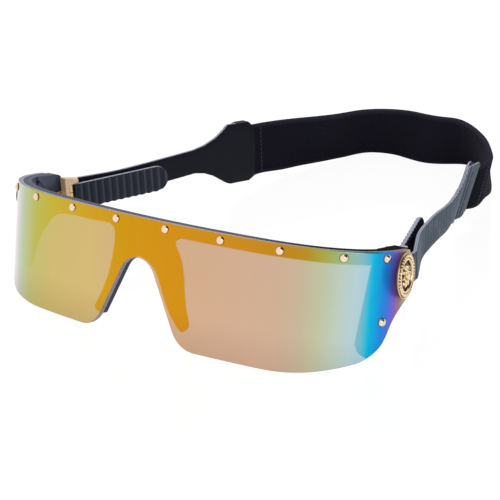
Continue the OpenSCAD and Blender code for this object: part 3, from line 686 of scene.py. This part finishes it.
def leaf_form(length, width, height):
    """A petal: a pointed oval swelling with a crease along its middle, lying along X."""
    form = bmesh.new()
    lengthwise, across = 10, 8
    grid = []
    for i in range(lengthwise + 1):
        t = i / lengthwise
        half = width / 2 * sin(pi * t) ** 0.7 + 0.02
        rise = height * sin(pi * (t * 0.85 + 0.1)) ** 0.8
        row = []
        for j in range(across + 1):
            s = 2 * j / across - 1
            dip = 0.16 * exp(-(s / 0.18) ** 2)
            row.append(form.verts.new(((t - 0.5) * length, s * half, rise * (sqrt(max(1 - s * s, 0)) - dip))))
        grid.append(row)
    for a, b in zip(grid, grid[1:]):
        for j in range(across):
            form.faces.new((a[j], b[j], b[j + 1], a[j + 1]))
    return form


def bead_form(long, wide, high):
    """An oval bead or a short thread."""
    form = bmesh.new()
    bmesh.ops.create_uvsphere(form, u_segments=12, v_segments=7, radius=1)
    form.transform(Matrix.Diagonal((long, wide, high, 1)))
    return form


def rosette():
    """The medallion round its own axis, its back at height 0."""
    edge = DISC_D / 2
    form = turned_form([
        (0, 0), (edge - 0.3, 0), (edge - 0.06, 0.12), (edge, 0.4), (edge - 0.02, 0.8), (edge - 0.16, 0.92),
        (edge - 0.3, 0.78), (edge - 0.5, 0.66), (edge - 1.5, 0.66), (edge - 1.6, 0.95), (edge - 1.75, 1.12),
        (edge - 2.0, 1.14), (edge - 2.15, 1.0), (edge - 2.3, 0.36), (3.4, 0.24), (2.4, 0.3), (0, 0.4)], 96)
    for i in range(CABLE_BEADS):
        add_form(form, bead_form(0.62, 0.29, 0.52), Matrix.Rotation(2 * pi * i / CABLE_BEADS, 4, "Z")
                 @ Matrix.Translation((edge - 1.0, 0, 0.78)) @ Matrix.Rotation(radians(40), 4, "Z"))
    for i in range(PETALS):
        add_form(form, leaf_form(2.2, 1.2, 0.95), Matrix.Rotation(2 * pi * (i + 0.5) / PETALS, 4, "Z")
                 @ Matrix.Translation((2.42, 0, 0.35)) @ Matrix.Rotation(radians(-8), 4, "Y"))
        add_form(form, leaf_form(1.5, 0.8, 0.8), Matrix.Rotation(2 * pi * i / PETALS, 4, "Z")
                 @ Matrix.Translation((1.45, 0, 0.8)) @ Matrix.Rotation(radians(-14), 4, "Y"))
    add_form(form, turned_form([(1.3, 0.4), (1.22, 1.12), (1.0, 1.42), (0.7, 1.62), (0.35, 1.72), (0, 1.75)], 32),
             Matrix.Identity(4))
    return form


def cast_depth(place, full, none):
    """How deep a point of a cast face lies, for the painted shade in its hollows."""
    back = place.inverted()

    def share(point):
        height = (back @ point).z
        return (none - height) / (none - full) if height > 0.05 else 0
    return share


def both_sides():
    """Each side's name, with its place beside the arms; the right one is the left one mirrored."""
    return [(side, ARM_PLACE @ Matrix.Diagonal((sign, 1, 1, 1))) for side, sign in (("left", 1), ("right", -1))]


def turn_faces(made, side):
    """Turns a mirrored piece's faces outward again."""
    if side == "right":
        made.data.flip_normals()


# Painted shade darkens the rosette's low ground between its raised parts
medal_gold = gilt("rose gold plating", seen(250, 226, 186), seen(110, 72, 44), 0.14, 0.28, 1400, seen(52, 28, 14))
nut_gold = gilt("brushed gold nuts", seen(214, 180, 130), seen(90, 60, 38), 0.24, 0.38, 1600)
outward = Matrix.Rotation(pi / 2, 4, "Y")
seat = Matrix.Translation((POST_X + DISC_LIFT, 0, 0)) @ Matrix.Rotation(FACE_TURN, 4, "Z") @ outward
shaft = [(0, -8.977), (1.0, -8.977), (1.1, -8.88), (1.1, -4.477), (1.6, -4.477), (1.6, 0.2), (0, 0.2)]
for side, whole in both_sides():
    form = bmesh.new()
    add_form(form, rosette(), seat)
    add_form(form, turned_form(shaft, 40), Matrix.Translation((POST_X, 0, 0)) @ outward)
    add_form(form, turned_form([(0, -0.75), (3.5, -0.75), (3.5, 0.05), (0, 0.05)], 40), seat)
    made = finish_mesh("rosette_medallion_" + side, form, whole, 50)
    mark(made, "depth", cast_depth(whole @ seat, 0.35, 1.0))
    turn_faces(made, side)
    hand_over(made, "frame", "medallion_" + side, "gold", medal_gold)
rounded_copy("post_nuts", "medallion_nuts", 0.12, nut_gold, "frame", "gold")

# Hinges. Three-knuckle barrel hinges in gold-plated steel are screwed up against the cheeks by
# the posts' nuts. A steel screw is the pin, the leaf is pegged to the core inside the grip, and
# a bent gold cover stands in front and laps over the grip's front corner.
hinge_gold = gilt("hinge gold plating", seen(226, 190, 140), seen(96, 62, 40), 0.18, 0.32, 1200)
screw_steel = gilt("screw steel", seen(190, 184, 176), seen(70, 66, 62), 0.2, 0.36, 1800)
core_steel = gilt("core steel", seen(168, 168, 172), seen(60, 60, 64), 0.28, 0.42, 1500)
for side in ("left", "right"):
    rounded_copy("hinge_plate_" + side, "hinge_block_" + side, 0.12, hinge_gold, "frame", "gold")
    rounded_copy("hinge_tongue_" + side, "hinge_leaf_" + side, 0.1, hinge_gold, "temple_" + side, "gold")
    rounded_copy("grip_core_" + side, "temple_core_" + side, 0.1, core_steel, "temple_" + side, "steel")
rounded_copy("hinge_pins", "hinge_screws", 0.08, screw_steel, "frame", "steel")
# The cover's inner and outer side: how far out, and points back from the post and up
COVER_SIDES = ((63.0, ((5.3, -8.25), (7.0, -8.25), (7.0, 2.05), (11.4, 2.05), (11.4, 3.1), (5.3, 5.3))),
               (65.4, ((5.3, -8.25), (7.0, -8.25), (7.0, 2.05), (13.2, 2.05), (13.2, 3.2), (5.3, 5.3))))


def wrap_rings(form, rings, slot_at=None, ends=(0, 0)):
    """Lays faces from ring to ring and over both ends. A ring's points are vertices, with a UV where it's used."""
    layer = form.loops.layers.uv.active

    def lay(corners, slot):
        face = form.faces.new([corner[0] for corner in corners])
        face.material_index = slot
        if layer:
            for loop, corner in zip(face.loops, corners):
                loop[layer].uv = corner[1:]

    for i, (a, b) in enumerate(zip(rings, rings[1:])):
        for j in range(len(a)):
            k = (j + 1) % len(a)
            lay((a[j], b[j], b[k], a[k]), slot_at(i, j) if slot_at else 0)
    lay(rings[0], ends[0])
    lay(rings[-1][::-1], ends[1])
    bmesh.ops.recalc_face_normals(form, faces=form.faces)


def cover_form():
    """The cover between its two sides, X outward from the glasses' middle."""
    form = bmesh.new()
    wrap_rings(form, [[(form.verts.new((x, y, z)),) for y, z in line] for x, line in COVER_SIDES])
    return form


def satin_gold():
    """Gold plating with a satin top coat, fine scratches and dull spots."""
    made, tree, shader = plain_material("satin gold plating", seen(238, 206, 168), 0.4, 0.25, Specular_IOR_Level=0.4)
    fine = noise(tree, 1300)
    dressed(tree, shader, mixed(tree, fine, seen(250, 222, 186), seen(222, 184, 142)),
            ranged(tree, fine, 0.3, 0.5), fine, 0.2, 0.03)
    return made


cover_gold = satin_gold()
for side, whole in both_sides():
    cover = finish_mesh("hinge_cover_" + side, cover_form(), whole, 30)
    turn_faces(cover, side)
    round_edges(cover, 0.25, 3)
    hand_over(cover, "frame", None, "gold", cover_gold)

# Temple grips. Two short temples in dark rubber over a flat steel core. Both faces carry
# rounded ribs across the grip, 2.6 mm apart, and the end is a half circle. The crown of the
# top edge carries a painted highlight, a pale sheen of light along it.
HINGE_X, HINGE_BACK, TOE = 65.0337, 8.8, radians(21.5)
GRIP_H, GRIP_T, GRIP_DROP, GRIP_FROM, GRIP_TO, GRIP_OUT = 8.8, 1.8, 7.05, 1.65, 36, 0.35
RIB, RIB_DEPTH, RIB_NOTCH = 2.6, 0.4, 0.22
# A grip's faces that the crown of its top edge takes up
CROWN_FACES = (27, 28, 29, 30, 31, 0)


def rounded_box(out, inn, low, high, corner, steps):
    """Points round a box with rounded corners, each with the way its skin faces."""
    ring = []
    for x, z, first in ((out + corner, high - corner, 90), (out + corner, low + corner, 180),
                        (inn - corner, low + corner, 270), (inn - corner, high - corner, 0)):
        for k in range(steps + 1):
            a = radians(first + 90 * k / steps)
            ring.append((x + corner * cos(a), z + corner * sin(a), cos(a), sin(a)))
    return ring


def filled(ring, after, steps):
    """A ring with more points between the named ones and the next."""
    full = []
    for i, point in enumerate(ring):
        full.append(point)
        if i in after:
            full += [[p + (q - p) * k / steps for p, q in zip(point, ring[(i + 1) % len(ring)])]
                     for k in range(1, steps)]
    return full


def rib_wave(at, pitch):
    """0 on the crown of a rib and 1 in the valley beside it."""
    return 0.5 - 0.5 * cos(2 * pi * at / pitch)


def grip_form():
    """X along the temple, Y inward across it, Z up, with the hinge's axis as the origin."""
    form = bmesh.new()
    half, end = GRIP_H / 2, GRIP_TO - GRIP_H / 2
    middle, centre = GRIP_T / 2 - GRIP_OUT, half - GRIP_DROP
    stations, x = [], GRIP_FROM
    while x < end:
        stations.append(x)
        x += RIB / 10
    stations += [end + half * sin(pi / 2 * i / 14) for i in range(14)] + [GRIP_TO - 0.01]
    rings = []
    for x in stations:
        reach = half if x <= end else sqrt(max(half ** 2 - (x - end) ** 2, 0.02))
        wave = rib_wave(x - GRIP_FROM - 1, RIB) if GRIP_FROM + 1 < x < end + 2 else 0
        ring = rounded_box(middle - GRIP_T / 2, middle + GRIP_T / 2, centre - reach, centre + reach,
                           min(0.55, reach * 0.8), 4)
        shaped = [(y - copysign(RIB_DEPTH * wave * abs(flat) ** 1.5, y - middle),
                   z - RIB_NOTCH * wave * min(steep, 0)) for y, z, flat, steep in ring]
        # More points down the two flat faces, where the ribs stand
        rings.append([(form.verts.new((x, y, z)),) for y, z in filled(shaped, (4, 9, 14, 19), 4)])
    wrap_rings(form, rings, lambda i, j: 1 if j in CROWN_FACES else 0)
    return form


grip_rubber = moulded("dark grip rubber", seen(36, 40, 54), seen(120, 126, 140), 0.42, 0.58, 0.22, 0.5, 0.4, 0.03,
                      0.2)
# Paler in the valleys between the ribs
tree, base, plain = base_of(grip_rubber)
valley = node_in(tree, "Attribute", attribute_name="valley")
tree.links.new(mixed(tree, times(tree, valley.outputs["Fac"], 0.7), plain, seen(86, 92, 110)), base)
# Painted highlight: a pale rubber on the crown of the top edge, for the sheen of light along it
grip_crown_highlight = moulded("painted grip crown highlight", seen(176, 180, 204), seen(200, 204, 220), 0.42, 0.58, 0.22, 0.6, 0.4, 0.03, 0.2)
for side, whole in both_sides():
    place = whole @ Matrix.Translation((HINGE_X, HINGE_BACK, 0)) @ Matrix.Rotation(pi / 2 + TOE, 4, "Z")
    made = finish_mesh("ribbed_grip_" + side, grip_form(), place, 60)
    back = place.inverted()
    mark(made, "valley", lambda point: rib_wave((back @ point).x - GRIP_FROM - 1, RIB) ** 5)
    turn_faces(made, side)
    hand_over(made, "temple_" + side, "temple_grip_" + side, "rubber", grip_rubber, grip_crown_highlight)

# Strap arms. Each arm is one strip of slate silicone rubber with fine ribs across its outer
# face. It hangs on the medallion's post by an eye, bends inward behind the cheek and flares for
# the strap, which a pocket in the flare's rear end takes. The wearer's left arm leans in and
# sags towards its rear end, as soft rubber does.
ARM_T, ARM_TOP, ARM_DROP, EYE_R, TAB_OUT = 1.4, 2.35, 6.15, 3.6, 69.0837
# Each run along the arm's middle, with its turn in degrees
ARM_RUNS = ((11.2, 0), (2.024, 29), (10, 0), (11, -13.5), (54, -6.5))
ARM_TOTAL, ARM_FRONT, ARM_SPAN = 88.2246, 4.24, 100
FLARE_RUN, FLARE_RISE, FLARE_FALL = 27.4, 5.6, 8.6
FLARE_FROM = 84.785 - FLARE_RUN
# The flare's upper and lower edge, as shares of its run and of its rise or fall
FLARE_TOP = ((0, 0), (0.18, 0.1), (0.36, 0.375), (0.47, 0.66), (0.57, 1), (0.75, 0.9), (0.92, 0.8), (0.99, 0.45),
             (1, 0))
FLARE_LOW = ((0, 0), (0.15, 0.12), (0.29, 0.34), (0.42, 0.64), (0.5, 0.82), (0.56, 0.9), (0.7, 0.94), (0.87, 1),
             (0.96, 0.88), (1, 0))
ARM_RIB, ARM_RIB_DEPTH = 1.6, 0.4
POCKET_FROM, POCKET_GROWS, POCKET, SLOT_DEPTH = 77, 6, 2.2, 0.9
# How the left arm's lower and upper edge lean and its top sags, in millimetres
LOW_LEAN_FROM, LOW_LEAN = 50, Vector((-11.5, 3, 0.6))
TOP_LEAN_FROM, TOP_LEAN = 70, Vector((-3, 0, 0))
TOP_SAG = ((42, 0), (48, 0.4), (54, 1.2), (60, 1.9), (66, 2.3), (70, 2.3), (74, 1.9), (78, 1.2), (82, 0.7), (85, 0.9),
           (88.2, 1.6))
# The ring's faces inside the pocket's slot
SLOT_FACES = (26, 27, 28)


def arm_spot(go):
    """Place and heading of the arm's middle line in plan, level with the arms."""
    return walk([(run, radians(turn)) for run, turn in ARM_RUNS], go, Vector((TAB_OUT - ARM_T / 2, 0)), pi / 2)


def rise_between(at, start, end):
    """0 before a start and 1 past an end, rising smoothly between them."""
    share = min(max((at - start) / (end - start), 0), 1)
    return share * share * (3 - 2 * share)


def arm_point(side, go, off, z):
    """A point of an arm: how far along, how far in from its middle, and how high. Right arms are mirrored later."""
    spot, turned = arm_spot(max(go, 0))
    spot = spot + off * Vector((-sin(turned), cos(turned))) + Vector((0, min(go, 0)))
    point = Vector((spot.x, spot.y, z))
    if side == "left":
        drop = (ARM_TOP + FLARE_RISE - z) / (ARM_TOP + FLARE_RISE + ARM_DROP + FLARE_FALL)
        point += LOW_LEAN * drop * rise_between(go, LOW_LEAN_FROM, ARM_TOTAL)
        point += TOP_LEAN * (1 - drop) * rise_between(go, TOP_LEAN_FROM, ARM_TOTAL)
        point.z -= (1 - drop) * along_points(TOP_SAG, go)
    return point


def arm_edges(y):
    """Lower and upper edge of the arm at a distance back from the post."""
    middle = (ARM_TOP - ARM_DROP) / 2
    half = (ARM_TOP + ARM_DROP) / 2
    if y < 0:
        low = middle - sqrt(max(half ** 2 - y * y, 0))
        high = max(middle + sqrt(max(half ** 2 - y * y, 0)), sqrt(max(EYE_R ** 2 - y * y, 0)))
        return low, high
    high = max(ARM_TOP, sqrt(max(EYE_R ** 2 - y * y, 0)))
    if y < FLARE_FROM:
        return -ARM_DROP, high
    share = min((y - FLARE_FROM) / FLARE_RUN, 1)
    return (-ARM_DROP - FLARE_FALL * along_points(FLARE_LOW, share),
            ARM_TOP + FLARE_RISE * along_points(FLARE_TOP, share))


def arm_form(side):
    """The arm as rings across it, from its round front end to the flare's rear end."""
    form = bmesh.new()
    form.loops.layers.uv.new("along")
    count = int(ARM_TOTAL / (ARM_RIB / 8))
    goes = [-ARM_FRONT * cos(pi / 2 * i / 12) for i in range(12)]
    goes += [ARM_TOTAL * i / count for i in range(count)] + [ARM_TOTAL - 0.02]
    rings = []
    for go in goes:
        low, high = arm_edges(arm_spot(go)[0].y if go > 0 else go)
        groove = ARM_RIB_DEPTH * rib_wave(go, ARM_RIB) * min(max((go - 5) / 4, 0), 1)
        grown = POCKET_FROM + POCKET_GROWS
        thick = POCKET * rise_between(go, POCKET_FROM, grown)
        slot = SLOT_DEPTH * rise_between(go, grown, grown + 2) if side == "left" else 0
        # More points down the outer face, and up the inner face
        ring = filled(rounded_box(-ARM_T / 2 - thick, ARM_T / 2, low, high, min(0.4, (high - low) / 2 * 0.8), 3),
                      (3, 11), 6)
        # The pocket's slot, open along the top between its two layers
        ring += [(off * max(thick - 0.1, 0.1) - thick / 2, high - sink * slot, 0, 0)
                 for off, sink in ((0.5, 0), (0.45, 1), (-0.45, 1), (-0.5, 0))]
        rings.append([(form.verts.new(arm_point(side, go, off + groove * max(-flat, 0), z)), go / ARM_SPAN,
                       z / ARM_SPAN) for off, z, flat, steep in ring])

    def slot_at(i, j):
        """The outer face, the inner face, or the edges between them, painted pale as a highlight."""
        flat = (ring[j][2] + ring[(j + 1) % len(ring)][2]) / 2
        if flat < -0.6:
            return 0 if goes[i] <= ARM_TOTAL - 0.6 else 2
        return 1 if flat > 0.6 or j in SLOT_FACES or side == "right" and goes[i] > POCKET_FROM + 3 else 2

    wrap_rings(form, rings, slot_at, (2, 1))
    return form


def ribbed_rubber(name, colour, groove_colour):
    """Silicone rubber with fine ribs across it, painted shade in the grooves, and dust on a few ridges."""
    made = moulded(name, colour, seen(150, 156, 170), 0.5, 0.66, 0.25, 0.5, 0.3, 0.03, 0.2)
    tree, base, body = base_of(made)
    turns = times(tree, spread(tree, "along")[0], ARM_SPAN * 2 * pi / ARM_RIB)
    wave = times(tree, sums(tree, "SUBTRACT", 1, sums(tree, "COSINE", turns)), 0.5)
    # Painted shade: the grooves between the ribs are darkened almost to black
    grooves = mixed(tree, times(tree, wave, 0.9), body, groove_colour)
    dust = times(tree, past(tree, noise(tree, 260), 0.58, 0.08), 0.35)
    tree.links.new(mixed(tree, dust, grooves, seen(128, 134, 146)), base)
    return made


arm_outer = ribbed_rubber("slate ribbed rubber", seen(114, 127, 141), seen(12, 16, 26))
arm_inner = moulded("dark inner rubber", seen(20, 22, 34), seen(70, 74, 90), 0.5, 0.66, 0.3, 0.6, 0.3, 0.04, 0.15)
# Painted highlight: a pale rubber for the edges between the arm's faces, its slot and the flare's end
arm_edge_highlight = moulded("pale rubber edge highlight", seen(182, 184, 206), seen(206, 208, 222), 0.5, 0.66, 0.3, 0.8, 0.3, 0.05, 0.2)
for side, whole in both_sides():
    made = finish_mesh("ribbed_strap_arm_" + side, arm_form(side), whole, 60)
    turn_faces(made, side)
    hand_over(made, "strap", "strap_arm_" + side, "rubber", arm_outer, arm_inner, arm_edge_highlight)

# Elastic strap and stitches. A band of black woven elastic, 20 mm wide, is held in both flares'
# pockets and stands on its edge behind them. It is soft, so its back run wavers and its lower
# edge swings out. A line of stitches crosses it beside each flare.
STRAP_T, STRAP_LOW, STRAP_HIGH, SEAM = 1.4, -15.16, 4.64, 5.5
# The band's height and the millimetres across its UV map
BAND_H, BAND_SPAN = 20, 250
# The lower edge's height in each flare, and how far it climbs near the left one, by steps from its end
SEAM_LOW_RIGHT, SEAM_LOW_LEFT = -14.1, -12.6
END_LOW = ((0, 2.2), (4, 3.2), (9, 3.3), (15, 2.0), (24, 0))
# The inner face's upper and lower edge in plan, from the right flare round to the left one
STRAP_TOP_LINE = ((-47.4, 86.5), (-41.8, 94.2), (-33.4, 102.4), (-27.5, 109.1), (-22.8, 117.3), (-16, 122.7),
                  (-7.5, 125.4), (0.2, 124.2), (7.4, 123.4), (13, 123.9), (21.6, 118.9), (32.2, 109.5), (40.2, 99.6),
                  (45.6, 91.7), (46.9, 86.5))
STRAP_LOW_LINE = ((-48.8, 87.5), (-45.4, 97.2), (-42.6, 104.8), (-38.5, 112.3), (-34.6, 120.5), (-29.5, 129.2),
                  (-19.5, 131.6), (-10.8, 129.8), (-2.9, 128.6), (4, 130.6), (11.5, 133.6), (21, 129.5),
                  (28.5, 119.5), (34.2, 108.9), (38.6, 97.4), (40.4, 89.5))
STRAP_STEPS, SEAM_STEPS, STRAP_ROWS = 150, 14, 10
# From stitch to stitch, and where a line of them starts and ends as shares of the band's height
STITCH, STITCH_FROM, STITCH_TO = 1.55, 0.04, 0.96


def even_line(points, count):
    """A smooth line through points, cut into equal steps."""
    fine = []
    last = len(points) - 1
    for i in range(last):
        p0, p1, p2, p3 = (Vector(points[min(max(k, 0), last)]) for k in (i - 1, i, i + 1, i + 2))
        for j in range(12):
            t = j / 12
            fine.append(0.5 * (2 * p1 + (p2 - p0) * t + (2 * p0 - 5 * p1 + 4 * p2 - p3) * t * t
                               + (3 * p1 - p0 - 3 * p2 + p3) * t ** 3))
    fine.append(Vector(points[-1]))
    runs = [0]
    for a, b in zip(fine, fine[1:]):
        runs.append(runs[-1] + (b - a).length)
    line, k = [], 0
    for i in range(count + 1):
        at = runs[-1] * i / count
        while k < len(runs) - 2 and runs[k + 1] < at:
            k += 1
        line.append(fine[k].lerp(fine[k + 1], (at - runs[k]) / max(runs[k + 1] - runs[k], 1e-9)))
    return line


def strap_rows():
    """Top and bottom points of the band's inner face, from the right seam round to the left one."""
    rows = []
    for i in range(SEAM_STEPS):
        go = ARM_TOTAL - SEAM + SEAM * i / SEAM_STEPS
        ends = [arm_point("right", go, -ARM_T / 2 - 0.03, z) for z in (STRAP_HIGH, SEAM_LOW_RIGHT)]
        rows.append([Vector((-p.x, p.y, p.z)) for p in ends])
    top, low = even_line(STRAP_TOP_LINE, STRAP_STEPS), even_line(STRAP_LOW_LINE, STRAP_STEPS)
    for i, (t, b) in enumerate(zip(top, low)):
        rise = (SEAM_LOW_RIGHT - STRAP_LOW) * max(1 - i / 12, 0) + along_points(END_LOW, STRAP_STEPS - i)
        rows.append([Vector((*t, STRAP_HIGH)), Vector((*b, STRAP_LOW + rise))])
    for i in range(SEAM_STEPS - 1, -1, -1):
        go = ARM_TOTAL - SEAM + SEAM * i / SEAM_STEPS
        rows.append([arm_point("left", go, -ARM_T / 2 - 0.03, z) for z in (STRAP_HIGH, SEAM_LOW_LEFT)])
    # Eases the band round the arms' ends
    for turn in range(10):
        old = [[p.copy() for p in row] for row in rows]
        for i in range(SEAM_STEPS - 1, len(rows) - SEAM_STEPS + 1):
            for k in (0, 1):
                rows[i][k] = (old[i - 1][k] + 2 * old[i][k] + old[i + 1][k]) / 4
    return rows


BAND = strap_rows()


def band_spot(along, up, out):
    """A point of the band: steps along it, share of its height, and how far out of its inner face."""
    i = min(max(int(along), 0), len(BAND) - 2)
    t = along - i
    low = BAND[i][1].lerp(BAND[i + 1][1], t)
    high = BAND[i][0].lerp(BAND[i + 1][0], t)
    h = max(min(i, len(BAND) - 4), 2)
    way = (BAND[h + 2][0] + BAND[h + 2][1] - BAND[h - 1][0] - BAND[h - 1][1]).normalized()
    outward = way.cross((low - high).normalized()).normalized()
    if outward.dot(low + high - Vector((0, 150, 0))) < 0:
        outward = -outward
    return low.lerp(high, up) + out * outward, way, outward


def strap_form():
    """The band as rings across it, with even rows."""
    form = bmesh.new()
    form.loops.layers.uv.new("band")
    upward = [j / STRAP_ROWS for j in range(STRAP_ROWS + 1)]
    rings, run = [], 0
    for i, row in enumerate(BAND):
        before = BAND[max(i - 1, 0)]
        run += (row[0] + row[1] - before[0] - before[1]).length / 2
        rings.append([(form.verts.new(band_spot(i, up, out)[0]), run / BAND_SPAN, up * BAND_H / BAND_SPAN)
                      for out, order in ((STRAP_T, upward), (0, upward[::-1])) for up in order])
    wrap_rings(form, rings)
    return form


def woven_elastic():
    """Black woven elastic: cords along it, threads across them, and bound edges a little paler."""
    made, tree, shader = plain_material("black woven elastic", seen(20, 20, 28), 0.85, Specular_IOR_Level=0.06)
    parts = spread(tree, "band")
    up = times(tree, parts[1], BAND_SPAN)
    cross = sums(tree, "SINE", times(tree, parts[0], BAND_SPAN * 2 * pi / 0.9))
    cords = sums(tree, "SINE", times(tree, up, 2 * pi / 0.8))
    weave = sums(tree, "ADD", times(tree, cross, cords, 0.5), 0.5)
    tone = sums(tree, "ADD", times(tree, weave, 0.55), times(tree, noise(tree, 1400), 0.5))
    cloth = mixed(tree, tone, seen(12, 12, 19), seen(38, 37, 49))
    faded = times(tree, past(tree, noise(tree, 70), 0.5, 0.15), 0.35)
    cloth = mixed(tree, faded, cloth, seen(28, 24, 38))
    bound = sums(tree, "MAXIMUM", past(tree, up, 18.9, 0.3), past(tree, times(tree, up, -1), -1.1, 0.3))
    dressed(tree, shader, mixed(tree, times(tree, bound, 0.6), cloth, seen(50, 50, 62)),
            ranged(tree, tone, 0.78, 0.95), tone, 0.6, 0.12)
    return made


strap = finish_mesh("woven_strap", strap_form(), ARM_PLACE)
for point in strap.data.vertices:
    point.co.z = max(point.co.z, 0)
round_edges(strap, 0.4, 3)
hand_over(strap, "strap", "elastic_strap", "webbing", woven_elastic())


def stitch_line(form, along, out):
    """A line of stitches down the band, each a short round thread lying on its face."""
    count = int((STITCH_TO - STITCH_FROM) * BAND_H / STITCH)
    for i in range(count):
        up = STITCH_FROM + (STITCH_TO - STITCH_FROM) * (i + 0.5) / count
        spot, way, outward = band_spot(along, up, out)
        high = band_spot(along, up + 0.02, out)[0]
        rise = (high - spot).normalized()
        turn = Matrix((rise, outward.cross(rise), outward)).transposed().to_4x4()
        add_form(form, bead_form(0.58, 0.2, 0.15), Matrix.Translation(spot) @ turn)


threads = bmesh.new()
for along in (SEAM_STEPS + 2.2, len(BAND) - SEAM_STEPS - 3.2):
    for out in (STRAP_T + 0.02, -0.02):
        stitch_line(threads, along, out)
thread = moulded("black thread", seen(58, 56, 70), seen(90, 92, 100), 0.6, 0.8, 0.15, 0.5, 0.2, 0.03)
hand_over(finish_mesh("seam_stitches", threads, ARM_PLACE), "strap", "strap_stitches", "thread", thread)
